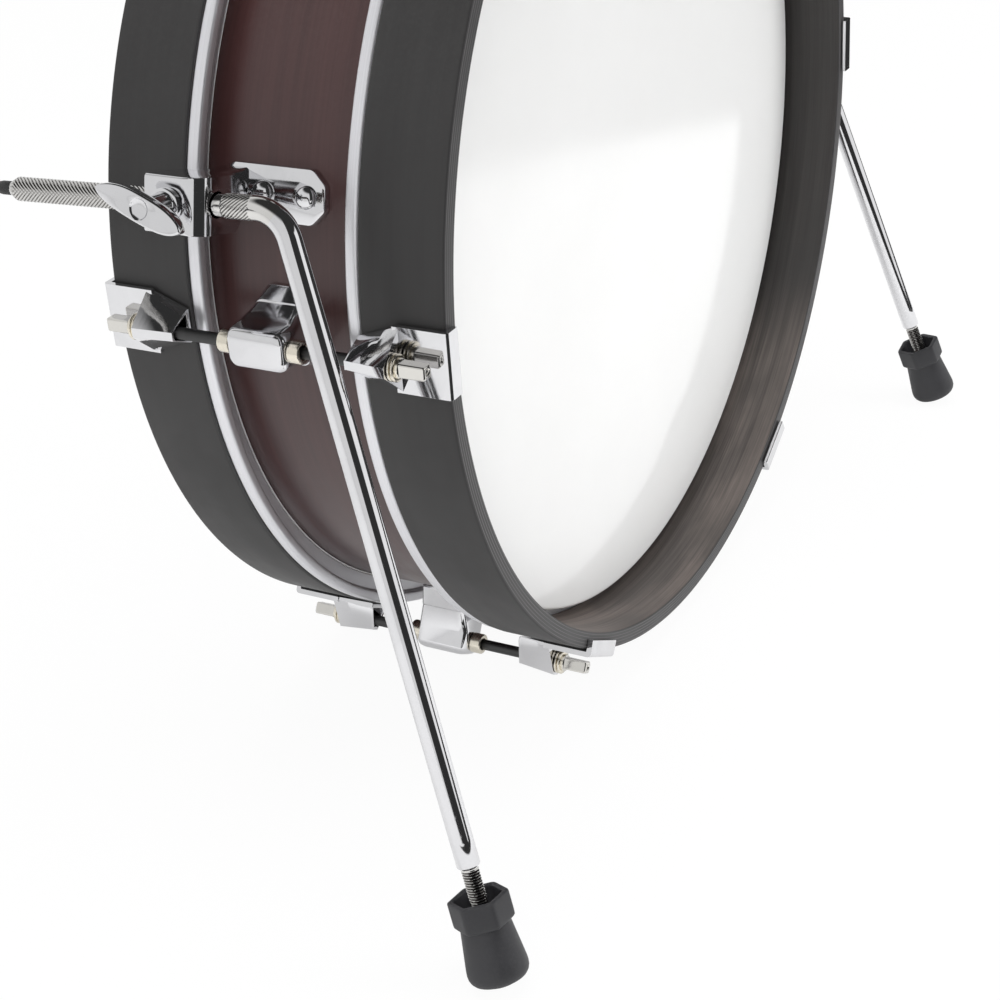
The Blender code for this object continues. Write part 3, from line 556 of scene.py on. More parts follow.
@dataclass
class Effects:
    """The shader groups that several finishes share.

    Attributes:
        drum: The drum's frame, for patterns that follow its axis.
        made: The groups made so far, by name.
    """

    drum: DrumFrame
    made: dict[str, NodeTree] = field(default_factory=dict)

    def group(self, name: str, inputs: dict[str, object], outputs: dict[str, str],
              fill: Callable[[Graph, dict, dict], None]) -> NodeTree:
        """Return a shared group, built the first time it is asked for.

        Args:
            name: The group's name.
            inputs: Each input's name with its default, a number or a vector.
            outputs: Each output's name with its kind, "Float" or "Vector".
            fill: Builds the nodes between the input and output sockets.

        Returns:
            The group.
        """
        if name in self.made:
            return self.made[name]
        tree = bpy.data.node_groups.new(name, "ShaderNodeTree")
        for key, default in inputs.items():
            kind = "Float" if isinstance(default, (int, float)) else "Vector"
            socket = tree.interface.new_socket(key, in_out="INPUT", socket_type=f"NodeSocket{kind}")
            socket.default_value = default
        for key, kind in outputs.items():
            tree.interface.new_socket(key, in_out="OUTPUT", socket_type=f"NodeSocket{kind}")
        graph = Graph(tree)
        entry = tree.nodes.new("NodeGroupInput")
        leave = tree.nodes.new("NodeGroupOutput")
        fill(graph, dict(entry.outputs.items()), dict(leave.inputs.items()))
        self.made[name] = tree
        return tree

    def place(self) -> NodeTree:
        """Return the group that gives a point in the drum's own frame, and its distance from the axis."""
        own = self.drum.matrix.inverted()

        def fill(graph: Graph, _: dict, leave: dict) -> None:
            """Turn object coordinates by the drum's lean."""
            point = graph.node("TexCoord").outputs["Object"]
            turned = graph.node("Mapping", {"Vector": point, "Location": own.translation,
                                            "Rotation": own.to_euler()}).outputs[0]
            flat = graph.stretch(turned, (1.0, 0.0, 1.0))
            radius = graph.node("VectorMath", {0: flat}, operation="LENGTH").outputs["Value"]
            graph.feed(leave["Place"], turned)
            graph.feed(leave["Radius"], radius)

        return self.group("drum_place", {}, {"Place": "Vector", "Radius": "Float"}, fill)

    def grain(self) -> NodeTree:
        """Return the group of long streaks that run round the drum, as veneer lies on it."""

        def fill(graph: Graph, entry: dict, leave: dict) -> None:
            """Add a coarse and a fine noise, both drawn out round the axis."""
            counts = {0: entry["Round"], 1: entry["Along"], 2: entry["Round"]}
            drawn = graph.stretch(entry["Place"], graph.node("CombineXYZ", counts).outputs[0])
            coarse = graph.noise(drawn, 1.0, 5.0, 0.62)
            fine = graph.noise(drawn, 5.5, 2.0, 0.5)
            mixed = graph.math("MULTIPLY_ADD", fine, 0.35, graph.math("MULTIPLY", coarse, 0.65))
            graph.feed(leave["Value"], graph.remap(mixed, 0.34, 0.66, 0.0, 1.0))

        inputs = {"Place": (0.0, 0.0, 0.0), "Round": 3.0, "Along": 200.0}
        return self.group("veneer_grain", inputs, {"Value": "Float"}, fill)

    def streaks(self, graph: Graph, place: object, around: float, along: float) -> NodeSocket:
        """Return the grain at a point of the drum, with so many streaks per metre round it and along it."""
        return graph.shared(self.grain(), Place=place, Round=around, Along=along).outputs[0]

    def handling(self) -> NodeTree:
        """Return the group of soft marks that handling leaves on a smooth surface."""

        def fill(graph: Graph, entry: dict, leave: dict) -> None:
            """Warp a noise by a slower one, and keep its broad shapes."""
            point = graph.node("TexCoord").outputs["Object"]
            slow = graph.node("TexNoise", {"Vector": point, "Scale": entry["Scale"], "Detail": 2.0})
            warp = (0.03, 0.03, 0.03)
            shift = {0: slow.outputs["Color"], 1: warp, 2: point}
            moved = graph.node("VectorMath", shift, operation="MULTIPLY_ADD").outputs[0]
            marks = graph.noise(moved, entry["Scale"], 4.0, 0.6)
            graph.feed(leave["Value"], graph.remap(marks, 0.4, 0.68, 0.0, 1.0, True))

        return self.group("handling_marks", {"Scale": 40.0}, {"Value": "Float"}, fill)

    def hairlines(self) -> NodeTree:
        """Return the group of thin scratches, the narrow level lines of a drawn-out noise."""

        def fill(graph: Graph, entry: dict, leave: dict) -> None:
            """Keep only where the noise is close to its middle value."""
            point = graph.node("TexCoord").outputs["Object"]
            turned = graph.node("Mapping", {"Vector": point, "Rotation": (0.5, 0.9, 0.3),
                                            "Scale": (1.0, 9.0, 1.0)}).outputs[0]
            value = graph.noise(turned, entry["Scale"], 1.0)
            away = graph.math("ABSOLUTE", graph.math("SUBTRACT", value, 0.5))
            graph.feed(leave["Mask"], graph.remap(away, 0.0, 0.008, 1.0, 0.0, True))

        return self.group("hairlines", {"Scale": 60.0}, {"Mask": "Float"}, fill)

    def dust(self) -> NodeTree:
        """Return the group of fine dust that settles on what faces up."""

        def fill(graph: Graph, entry: dict, leave: dict) -> None:
            """Let a fine noise through where the normal points up."""
            point = graph.node("TexCoord").outputs["Object"]
            normal = graph.node("NewGeometry").outputs["Normal"]
            upward = graph.node("SeparateXYZ", {0: normal}).outputs["Z"]
            specks = graph.remap(graph.noise(point, entry["Scale"], 6.0, 0.75), 0.45, 0.75, 0.0, 1.0)
            settled = graph.remap(upward, 0.1, 0.9, 0.0, 1.0, True)
            graph.feed(leave["Mask"], graph.math("MULTIPLY", settled, specks))

        return self.group("settled_dust", {"Scale": 180.0}, {"Mask": "Float"}, fill)


# Finishes


@dataclass(frozen=True)
class Finish:
    """One surface finish.

    Attributes:
        name: The material's name.
        colour: Its main colour, linear.
        roughness: Its plain roughness.
        metallic: 1 for bare or plated metal.
    """

    name: str
    colour: tuple[float, float, float]
    roughness: float
    metallic: float = 0.0

    def material(self, effects: Effects) -> Material:
        """Return the finish as a material.

        Args:
            effects: The shared shader groups.

        Returns:
            A material whose details come from this finish.
        """
        material = bpy.data.materials.new(self.name)
        material.use_nodes = True
        shader = material.node_tree.nodes["Principled BSDF"]
        shader.inputs["Base Color"].default_value = opaque(self.colour)
        shader.inputs["Roughness"].default_value = self.roughness
        shader.inputs["Metallic"].default_value = self.metallic
        self.detail(Graph(material.node_tree), shader, effects)
        return material

    def toned(self, share: float) -> tuple[float, ...]:
        """Return a share of the colour."""
        return tuple(part * share for part in self.colour)

    def detail(self, graph: Graph, shader: Node, effects: Effects) -> None:
        """Add what makes this finish its own; a plain finish adds nothing."""

    def raise_surface(self, graph: Graph, shader: Node, height: object, strength: float,
                      distance: float) -> None:
        """Feed a height into the shader's normal.

        Args:
            graph: The material's graph.
            shader: Its Principled shader.
            height: The height's socket.
            strength: How much of it counts.
            distance: What a height of one stands for, in metres.
        """
        bump = graph.node("Bump", {"Height": height, "Strength": strength, "Distance": distance})
        graph.feed(shader.inputs["Normal"], bump.outputs[0])


@dataclass(frozen=True)
class Lacquer(Finish):
    """Satin lacquer over veneer whose grain runs round the drum.

    Attributes:
        streak: The colour of the darker streaks.
        round_scale: Streaks per metre round the drum.
        along_scale: Streaks per metre along the axis.
        coat: The weight of the clear coat.
    """

    streak: tuple[float, float, float] = (0.0, 0.0, 0.0)
    round_scale: float = 3.0
    along_scale: float = 200.0
    coat: float = 0.2

    def detail(self, graph: Graph, shader: Node, effects: Effects) -> None:
        """Mix two tones by the grain, and vary the sheen by handling."""
        place = graph.shared(effects.place()).outputs["Place"]
        grain = effects.streaks(graph, place, self.round_scale, self.along_scale)
        broad = effects.streaks(graph, place, self.round_scale * 0.6, self.along_scale * 0.16)
        tone = graph.math("MULTIPLY_ADD", broad, 0.5, graph.math("MULTIPLY", grain, 0.5))
        shade = graph.blend(tone, self.streak, self.colour)
        dust = graph.shared(effects.dust(), Scale=420.0).outputs[0]
        dusted = graph.blend(graph.math("MULTIPLY", dust, 0.025), shade, (0.5, 0.48, 0.46))
        graph.feed(shader.inputs["Base Color"], dusted)
        marks = graph.shared(effects.handling(), Scale=11.0).outputs[0]
        graph.feed(shader.inputs["Roughness"], graph.plus(self.roughness, (grain, 0.06), (marks, 0.1)))
        shader.inputs["Coat Weight"].default_value = self.coat
        shader.inputs["Coat Roughness"].default_value = 0.22
        self.raise_surface(graph, shader, grain, 0.12, 0.00012)


@dataclass(frozen=True)
class PlyEdge(Finish):
    """The end grain of plies under thin lacquer, in rings round the axis.

    Attributes:
        glue: The colour of the paler glue lines.
        ply: The thickness of one ply.
    """

    glue: tuple[float, float, float] = (0.2, 0.19, 0.19)
    ply: float = 1.6 * MM

    def detail(self, graph: Graph, shader: Node, effects: Effects) -> None:
        """Draw a line at each ply, worn unevenly round the drum."""
        spot = graph.shared(effects.place())
        turns = graph.math("DIVIDE", spot.outputs["Radius"], self.ply)
        line = graph.remap(graph.math("PINGPONG", turns, 0.5), 0.0, 0.16, 1.0, 0.0, True)
        wear = effects.streaks(graph, spot.outputs["Place"], 9.0, 60.0)
        shown = graph.math("MULTIPLY", line, graph.remap(wear, 0.2, 0.9, 0.25, 1.0))
        graph.feed(shader.inputs["Base Color"], graph.blend(shown, self.colour, self.glue))
        graph.feed(shader.inputs["Roughness"], graph.plus(self.roughness, (wear, 0.15)))
        self.raise_surface(graph, shader, line, 0.3, 0.00012)


@dataclass(frozen=True)
class RubbedPly(Lacquer):
    """The inside of a hoop: thin stain that is worn through to the wood in patches, with painted light that
    shows more of the paler wood low down.

    Attributes:
        wood: The colour of the bare wood, which also serves as the painted light low down.
        rubbed: The heights, from the drum's middle, below and above which most and least of it shows: painted
            light, paler low down.
    """

    wood: tuple[float, float, float] = (0.24, 0.2, 0.18)
    rubbed: tuple[float, float] = (-0.2, -0.125)

    def detail(self, graph: Graph, shader: Node, effects: Effects) -> None:
        """Show the wood through the stain by grain and by broad patches, with more of it low down as painted
        light.
        """
        place = graph.shared(effects.place()).outputs["Place"]
        grain = effects.streaks(graph, place, self.round_scale, self.along_scale)
        cloud = graph.noise(graph.stretch(place, (9.0, 26.0, 9.0)), 1.0, 4.0, 0.6)
        patches = graph.remap(cloud, 0.35, 0.65, 0.0, 1.0, True)
        height = graph.node("SeparateXYZ", {0: place}).outputs["Z"]
        # Painted light: the paler wood tone is strongest below the first height and fades above the second.
        low = graph.remap(height, *self.rubbed, 1.0, 0.08, True)
        # The share of paler wood mixes random worn patches with that painted light.
        worn = graph.math("MULTIPLY", graph.plus(0.4, (patches, 0.6)), low)
        bare = graph.math("MULTIPLY", graph.plus(0.25, (grain, 0.6)), worn)
        stain = graph.blend(grain, self.streak, self.colour)
        graph.feed(shader.inputs["Base Color"], graph.blend(bare, stain, self.wood))
        graph.feed(shader.inputs["Roughness"], graph.plus(self.roughness, (patches, 0.14)))
        self.raise_surface(graph, shader, grain, 0.2, 0.00015)


@dataclass(frozen=True)
class Film(Finish):
    """Smooth white plastic film under tension."""

    def detail(self, graph: Graph, shader: Node, effects: Effects) -> None:
        """Add the faintest cloudiness, handling marks in the gloss and a very fine orange peel."""
        point = graph.node("TexCoord").outputs["Object"]
        cloud = graph.noise(point, 9.0, 4.0, 0.55)
        tint = graph.blend(graph.remap(cloud, 0.35, 0.65, 0.0, 1.0), self.colour, self.toned(0.975))
        graph.feed(shader.inputs["Base Color"], tint)
        marks = graph.shared(effects.handling(), Scale=14.0).outputs[0]
        lines = graph.shared(effects.hairlines(), Scale=25.0).outputs[0]
        graph.feed(shader.inputs["Roughness"], graph.plus(self.roughness, (marks, 0.05), (lines, 0.06)))
        self.raise_surface(graph, shader, graph.noise(point, 900.0, 2.0), 0.02, 0.00005)


@dataclass(frozen=True)
class Plated(Finish):
    """Bright plating over a smooth casting or rod.

    Attributes:
        dirt: The painted shade laid into cut patterns, darker where they lie deeper.
        grooved: Whether the mesh says how deep each point lies in a pattern.
    """

    dirt: tuple[float, float, float] = (0.05, 0.045, 0.04)
    grooved: bool = False

    def detail(self, graph: Graph, shader: Node, effects: Effects) -> None:
        """Vary the gloss by handling, add hairlines, and paint shade into what lies in a groove."""
        marks = graph.shared(effects.handling(), Scale=34.0).outputs[0]
        lines = graph.shared(effects.hairlines(), Scale=70.0).outputs[0]
        tone = graph.blend(marks, self.colour, self.toned(0.94))
        if self.grooved:
            # Painted shade: the colour darkens towards the groove shade as a point lies deeper in the knurl
            # or thread.
            depth = graph.node("Attribute", attribute_name="groove").outputs["Fac"]
            tone = graph.blend(graph.math("MULTIPLY", depth, 1.3, clamp=True), tone, self.dirt)
        graph.feed(shader.inputs["Base Color"], tone)
        graph.feed(shader.inputs["Roughness"], graph.plus(self.roughness, (marks, 0.05), (lines, 0.1)))
        point = graph.node("TexCoord").outputs["Object"]
        self.raise_surface(graph, shader, graph.noise(point, 130.0, 2.0), 0.03, 0.0002)


@dataclass(frozen=True)
class Turned(Finish):
    """Metal turned or drawn round the drum's axis, with fine lines that follow it."""

    def detail(self, graph: Graph, shader: Node, effects: Effects) -> None:
        """Draw lines round the axis in the tone, the gloss and the surface."""
        place = graph.shared(effects.place()).outputs["Place"]
        lines = effects.streaks(graph, place, 1.5, 2600.0)
        marks = graph.shared(effects.handling(), Scale=22.0).outputs[0]
        graph.feed(shader.inputs["Base Color"], graph.blend(lines, self.toned(0.86), self.colour))
        graph.feed(shader.inputs["Roughness"], graph.plus(self.roughness, (lines, 0.08), (marks, 0.1)))
        self.raise_surface(graph, shader, lines, 0.08, 0.00006)


@dataclass(frozen=True)
class Moulded(Finish):
    """Matte rubber or plastic with the fine texture of its mould."""

    def detail(self, graph: Graph, shader: Node, effects: Effects) -> None:
        """Add a fine pitted texture, soft scuffs and dust on what faces up."""
        point = graph.node("TexCoord").outputs["Object"]
        pits = graph.noise(point, 2200.0, 3.0, 0.6)
        scuffs = graph.shared(effects.handling(), Scale=60.0).outputs[0]
        dust = graph.shared(effects.dust(), Scale=600.0).outputs[0]
        pale = tuple(part * 1.6 + 0.004 for part in self.colour)
        worn = graph.blend(graph.math("MULTIPLY", scuffs, 0.35), self.colour, pale)
        dusted = graph.blend(graph.math("MULTIPLY", dust, 0.06), worn, (0.42, 0.41, 0.4))
        graph.feed(shader.inputs["Base Color"], dusted)
        graph.feed(shader.inputs["Roughness"], graph.plus(self.roughness, (scuffs, 0.12)))
        self.raise_surface(graph, shader, pits, 0.25, 0.00012)


class Finishes:
    """Every finish on the drum."""

    SHELL = Lacquer("burgundy_lacquer", (0.068, 0.028, 0.027), 0.34, streak=(0.034, 0.012, 0.012),
                    round_scale=2.6, along_scale=230.0, coat=0.3)
    HOOP = Lacquer("charcoal_lacquer", (0.033, 0.032, 0.032), 0.5, streak=(0.022, 0.021, 0.021),
                   round_scale=3.2, along_scale=150.0, coat=0.06)
    HOOP_EDGE = PlyEdge("charcoal_ply_edge", (0.04, 0.039, 0.04), 0.42)
    # The hoop's inside: worn stain, with painted light that makes it paler low down.
    HOOP_INSIDE = RubbedPly("rubbed_ply", (0.036, 0.034, 0.033), 0.5, streak=(0.024, 0.022, 0.021),
                            round_scale=4.0, along_scale=260.0)
    FILM = Film("white_film", (0.88, 0.88, 0.875), 0.09)
    ALUMINIUM = Turned("bright_aluminium", (0.85, 0.85, 0.88), 0.3, 0.74)
    CHROME = Plated("chrome", (0.75, 0.75, 0.765), 0.045, 1.0)
    KNURLED = Plated("knurled_chrome", (0.74, 0.73, 0.71), 0.07, 1.0, grooved=True)
    NICKEL = Plated("pale_nickel", (0.83, 0.78, 0.67), 0.2, 1.0)
    KEY_STEEL = Plated("key_steel", (0.7, 0.685, 0.65), 0.11, 1.0)
    ROD_STEEL = Plated("dark_rod_steel", (0.085, 0.085, 0.085), 0.45, 1.0)
    RUBBER = Moulded("charcoal_rubber", (0.027, 0.027, 0.03), 0.5)
    GASKET = Moulded("black_gasket", (0.012, 0.012, 0.012), 0.6)
    PLASTIC = Moulded("dark_plastic", (0.022, 0.022, 0.022), 0.45)


@dataclass
class Workshop:
    """What every piece is built with.

    Attributes:
        drum: The drum's frame.
        effects: The shader groups that the materials share.
        made: The materials made so far, by name.
    """

    drum: DrumFrame
    effects: Effects
    made: dict[str, Material] = field(default_factory=dict)

    def material(self, finish: Finish) -> Material:
        """Return a finish's material, made the first time it is asked for."""
        if finish.name not in self.made:
            self.made[finish.name] = finish.material(self.effects)
        return self.made[finish.name]

    def fit(self, node: str, mesh: Mesh, place: Matrix, finishes: Sequence[Finish],
            body: str = "drum") -> Object:
        """Put a finished piece where its CAD node is, on that node's body.

        Args:
            node: The CAD node that the piece stands for.
            mesh: The piece's mesh in its own frame.
            place: That frame in the row frame.
            finishes: Its finishes, in the order of the faces' numbers.
            body: The body it rides on.

        Returns:
            The piece.
        """
        mesh.transform(place)
        for finish in finishes:
            mesh.materials.append(self.material(finish))
        piece = bpy.data.objects.new(f"dressed_{node}", mesh)
        bpy.context.scene.collection.objects.link(piece)
        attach(piece, body)
        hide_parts(node)
        LOG.info("%s: %d faces on %s", piece.name, len(mesh.polygons), body)
        return piece


# The drum's round pieces


@dataclass(frozen=True)
class Shell:
    """The ply shell: a tube with an eased outer edge and a cut bearing edge."""

    bearing_cut: float = 4.5 * MM
    bearing_ease: float = 2.0 * MM
    corner: float = 0.8 * MM
    columns: int = 288

    def build(self, shop: Workshop) -> None:
        """Turn the wall's section round the axis.

        Args:
            shop: The workshop.
        """
        inner, outer, back, front = shop.drum.span("shell")
        crest = outer - self.bearing_ease
        section = rounded([
            (crest, front), (outer, front - self.bearing_ease), (outer, back + self.bearing_ease),
            (crest, back), (inner, back + self.bearing_cut), (inner, front - self.bearing_cut),
        ], self.corner)
        mesh = surface("shell", revolved(section, self.columns), Ends.JOINED)
        shop.fit("shell", mesh, shop.drum.matrix, [Finishes.SHELL])


@dataclass(frozen=True)
class FilmHead:
    """A head's film: a disc that bends over the bearing edge into a collar."""

    film: float = 0.6 * MM
    bend: float = 2.0 * MM
    hub: float = 30.0 * MM  # radius of the one flat face in the middle
    bend_rows: int = 9
    disc_rows: int = 12
    columns: int = 288

    def build(self, head: Head, shop: Workshop) -> None:
        """Turn the film's section, a quarter arc between disc and collar, and close it in the middle.

        Args:
            head: Which head.
            shop: The workshop.
        """
        node = f"{head.word}_head"
        _, radius, foot, top = shop.drum.band(node)
        arc = np.linspace(math.pi / 2, 0, self.bend_rows)
        over = np.column_stack([radius - self.bend + self.bend * np.cos(arc),
                                top - self.bend + self.bend * np.sin(arc)])
        spread = np.linspace(self.hub, radius - 2 * self.bend, self.disc_rows)
        disc = np.column_stack([spread, np.full(self.disc_rows, top)])
        outer = np.concatenate([disc, over, [[radius, foot]]])
        back = outer[::-1]
        thinned = np.column_stack([back[:, 0] > radius - self.bend, back[:, 1] > top - self.bend / 2])
        section = np.concatenate([outer, back - self.film * thinned])
        mesh = surface(node, revolved(section, self.columns), sharp=50)
        shop.fit(node, mesh, shop.drum.facing(head), [Finishes.FILM])


@dataclass(frozen=True)
class HeadHoop:
    """The metal hoop of a head: an angle section with a broad outer band and a thin web in to the film."""

    rim: float = 5.7 * MM
    web: float = 2.0 * MM
    ease: float = 1.9 * MM
    inner_ease: float = 0.9 * MM
    edge: float = 0.3 * MM
    columns: int = 288

    def build(self, head: Head, shop: Workshop) -> None:
        """Turn the hoop's section round the axis.

        Args:
            head: Which head.
            shop: The workshop.
        """
        node = f"{head.word}_head_hoop"
        inner, outer, back, face = shop.drum.band(node)
        floor, step = face - self.web, outer - self.rim
        corners = [(inner, face), (outer, face), (outer, back), (step, back), (step, floor), (inner, floor)]
        section = rounded(corners, [self.edge, self.ease, self.ease, self.ease, self.inner_ease, self.edge])
        mesh = surface(node, revolved(section, self.columns), Ends.JOINED, sharp=40)
        shop.fit(node, mesh, shop.drum.facing(head), [Finishes.ALUMINIUM])


@dataclass(frozen=True)
class WoodHoop:
    """A wide ply hoop: lacquered outside, worn stain inside that is paler low down as painted light, plies
    showing on its edges.
    """

    edge: float = 1.4 * MM
    edge_steps: int = 5
    columns: int = 320

    def build(self, head: Head, shop: Workshop) -> None:
        """Turn the band's section, whose finish changes halfway round each corner.

        Args:
            head: Which head.
            shop: The workshop.
        """
        node = f"{head.word}_hoop"
        inner, outer, back, face = shop.drum.band(node)
        corners = [(inner, face), (outer, face), (outer, back), (inner, back)]
        section = rounded(corners, self.edge, self.edge_steps)
        outside, edge, inside = 0, 1, 2
        early = self.edge_steps // 2
        bands = []
        for before, after in ((inside, edge), (edge, outside), (outside, edge), (edge, inside)):
            bands += [before] * early + [after] * (self.edge_steps + 1 - early)
        mesh = surface(node, revolved(section, self.columns), Ends.JOINED, bands)
        finishes = [Finishes.HOOP, Finishes.HOOP_EDGE, Finishes.HOOP_INSIDE]
        shop.fit(node, mesh, shop.drum.facing(head), finishes)


# Tensioning


@dataclass(frozen=True)
class Claw:
    """A claw: a hooked plate over the hoop, with a faceted roof over the rod that is open at its tip.

    Places along it are measured from the hoop's face.
    """

    width: float = 30.0 * MM
    pad: float = 0.8 * MM  # gasket between claw and hoop
    plate: float = 2.6 * MM
    lip_reach: float = 5.5 * MM  # in over the hoop's face
    lip_gap: float = 0.3 * MM
    gable: float = 20.5 * MM  # where the roof starts
    gable_wall: float = 3.0 * MM
    length: float = 41.0 * MM  # where the roof ends
    tip_width: float = 15.0 * MM
    ridge_width: float = 4.6 * MM
    tip_ridge: float = 4.0 * MM
    gable_rise: float = 7.05 * MM  # over the rod's axis
    tip_rise: float = 5.05 * MM
    skirt: float = 1.5 * MM
    bulge: float = 1.6 * MM  # swell of the slopes halfway along
    wall: float = 2.0 * MM
    lip: float = 0.5 * MM  # swell of the rim at the open tip
    rim_start: float = 0.93  # share of the roof's length
    rows: int = 9
    bore: float = 3.05 * MM

    def roof(self, share: np.ndarray, inset: np.ndarray, floor: np.ndarray, rod_circle: float) -> np.ndarray:
        """Work out the roof's sections.

        Each section has upright skirts, two slopes that swell by the bulge times sin(pi t), and a narrow
        ridge. Its widths and height change evenly with t from the gable to the tip.

        Args:
            share: The places t from gable to tip.
            inset: How far each section is drawn in, for the inner side of the wall.
            floor: Each section's lowest level.
            rod_circle: The rod's distance from the drum's axis.

        Returns:
            Sections by eight corners by three.
        """
        along = self.gable + share * (self.length - self.gable)
        base = self.width / 2 + share * (self.tip_width - self.width) / 2 - inset * (1.8 - 0.8 * share)
        flat = (self.ridge_width + share * (self.tip_ridge - self.ridge_width) - np.minimum(inset, 0)) / 2
        peak = rod_circle + self.gable_rise + share * (self.tip_rise - self.gable_rise) - inset
        sill = floor + self.skirt - inset / 2
        middle = (base + flat) / 2 + (self.bulge - inset / 4) * np.sin(np.pi * share)
        rise = (sill + peak) / 2
        heights = np.stack([floor, sill, rise, peak, peak, rise, sill, floor], axis=1)
        widths = np.stack([-base, -base, -middle, -flat, flat, middle, base, base], axis=1)
        return np.stack([heights, np.repeat(along[:, None], 8, axis=1), widths], axis=-1)

    def template(self, hoop_outer: float, rod_circle: float) -> Mesh:
        """Build the claw and its gasket in their own frame.

        Args:
            hoop_outer: The hoop's outer radius.
            rod_circle: The rod's distance from the drum's axis.

        Returns:
            The mesh, with the gasket's faces under the second finish.
        """
        under = hoop_outer + self.pad
        top = under + self.plate
        lip_end = hoop_outer - self.lip_reach
        lip_face = -self.lip_gap - self.plate
        end = self.gable + self.gable_wall
        half = self.width / 2
        hook = rounded([
            (lip_end, lip_face), (top, lip_face), (top, end), (under, end), (under, -self.lip_gap),
            (lip_end, -self.lip_gap),
        ], [0.5 * MM, 2.3 * MM, 0.3 * MM, 0.3 * MM, 0.6 * MM, 0.3 * MM], 5)
        arc = np.linspace(0, np.pi, self.rows)
        turn = (1 - np.cos(arc)) / 2
        start = (self.gable_wall + self.lip_gap) / (self.length - self.gable)
        outside = np.linspace(0, self.rim_start, self.rows)
        inside = np.linspace(self.rim_start, start, self.rows - 1)
        out, back = np.zeros(len(outside)), np.ones(len(inside))
        rim = 0.95 + 0.05 * np.sin(arc)
        share = np.concatenate([outside, rim, inside])
        inset = np.concatenate([out, self.wall * turn - self.lip * np.sin(arc), self.wall * back])
        floor = under + self.plate * np.concatenate([out, turn, back]) + inset.clip(0) * 0.15
        cup = surface("claw_roof", self.roof(share, inset, floor, rod_circle))
        at_rod = Matrix.Translation((rod_circle, 0, 0))
        hole = bar(self.bore, self.gable - self.wall, end + self.wall, at_rod)
        near, far, seat = -self.lip_gap / 2, end - 1 * MM, hoop_outer + 0.05 * MM
        pad = rounded([(seat, near), (under, near), (under, far), (seat, far)], 0.1 * MM, 1)
        gasket = prism("claw_gasket", pad, -half + 0.4 * MM, half - 0.4 * MM, 1)
        return joined("claw", [prism("claw_plate", hook, -half, half), bored(cup, [hole]), gasket])


@dataclass(frozen=True)
class TensionRod:
    """A key rod with its square head, collar, two washers and long dark shank."""

    radius: float = 2.75 * MM
    key_half: float = 3.1 * MM
    key_length: float = 12.0 * MM
    collar_radius: float = 4.4 * MM
    collar: float = 1.6 * MM
    washer_radius: float = 6.0 * MM
    washer: float = 1.2 * MM
    washer_gap: float = 0.5 * MM
    seat_gap: float = 0.3 * MM
    edge: float = 0.25 * MM
    columns: int = 56

    def template(self, gable: float, end: float, rod_circle: float) -> Mesh:
        """Carry rings of changing radius and squareness along the rod.

        Args:
            gable: Where the claw's roof starts, from the hoop's face.
            end: Where the rod ends inside the lug, from the hoop's face.
            rod_circle: The rod's distance from the drum's axis.

        Returns:
            The mesh: key head, washers and shank under the first, second and third finish.
        """
        half, neck, edge = self.key_half, self.collar_radius, self.edge
        second = gable - self.seat_gap - self.washer
        first = second - self.washer_gap - self.washer
        collar = first - self.collar
        tip = collar - self.key_length
        key, washer, shank = 0, 1, 2
        rings = [
            (tip + 0.7 * MM, half * 0.45, 2, key), (tip + 0.1 * MM, half * 0.55, 2, key),
            (tip, half * 0.6, 2, key), (tip, half * 0.82, 7, key), (tip + 0.5 * MM, half * 0.97, 10, key),
            (tip + 1.0 * MM, half, 12, key), (collar - edge, half, 12, key), (collar, half * 1.06, 10, key),
            (collar, neck - edge, 2, key), (collar + edge, neck, 2, key),
        ]
        wide, narrow = self.washer_radius, self.washer_radius - edge
        for start, onwards, finish in ((first, neck, washer), (second, self.radius, shank)):
            stop = start + self.washer
            rings += [
                (start, neck, 2, washer), (start, narrow, 2, washer), (start + edge, wide, 2, washer),
                (stop - edge, wide, 2, washer), (stop, narrow, 2, washer), (stop, onwards, 2, finish),
            ]
        rings += [(end - self.radius / 2, self.radius, 2, shank), (end, self.radius / 2, 2, shank)]
        table = np.array(rings)
        angle = np.linspace(0, TURN, self.columns, endpoint=False) + math.pi / self.columns
        radius = table[:, 1:2] * squared_ring(angle, table[:, 2])
        height = np.repeat(table[:, :1], self.columns, axis=1)
        points = np.stack([rod_circle + radius * np.cos(angle), height, radius * np.sin(angle)], axis=-1)
        return surface("tension_rod", points, finish=table[1:, 3].astype(int), sharp=48)


@dataclass(frozen=True)
class SwivelNut:
    """A swivel nut: a bush whose rounded flange stands out of the lug."""

    spigot_radius: float = 4.0 * MM
    spigot: float = 10.0 * MM
    flange_radius: float = 5.2 * MM
    flange: float = 5.8 * MM
    gap: float = 0.3 * MM
    bore: float = 3.05 * MM
    columns: int = 48

    def template(self, nose: float) -> Mesh:
        """Turn the bush's section.

        Args:
            nose: Half the lug's length at its nose.

        Returns:
            The mesh, with its flange towards +Y.
        """
        seat, end = nose + self.gap, nose - self.spigot
        face = seat + self.flange
        section = rounded([
            (self.bore, face), (self.flange_radius, face), (self.flange_radius, seat),
            (self.spigot_radius, seat), (self.spigot_radius, end), (self.bore, end),
        ], [0.4 * MM, 0.9 * MM, 0.5 * MM, 0.15 * MM, 0.3 * MM, 0.2 * MM], 4)
        return surface("swivel_nut", revolved(section, self.columns), Ends.JOINED, sharp=40)


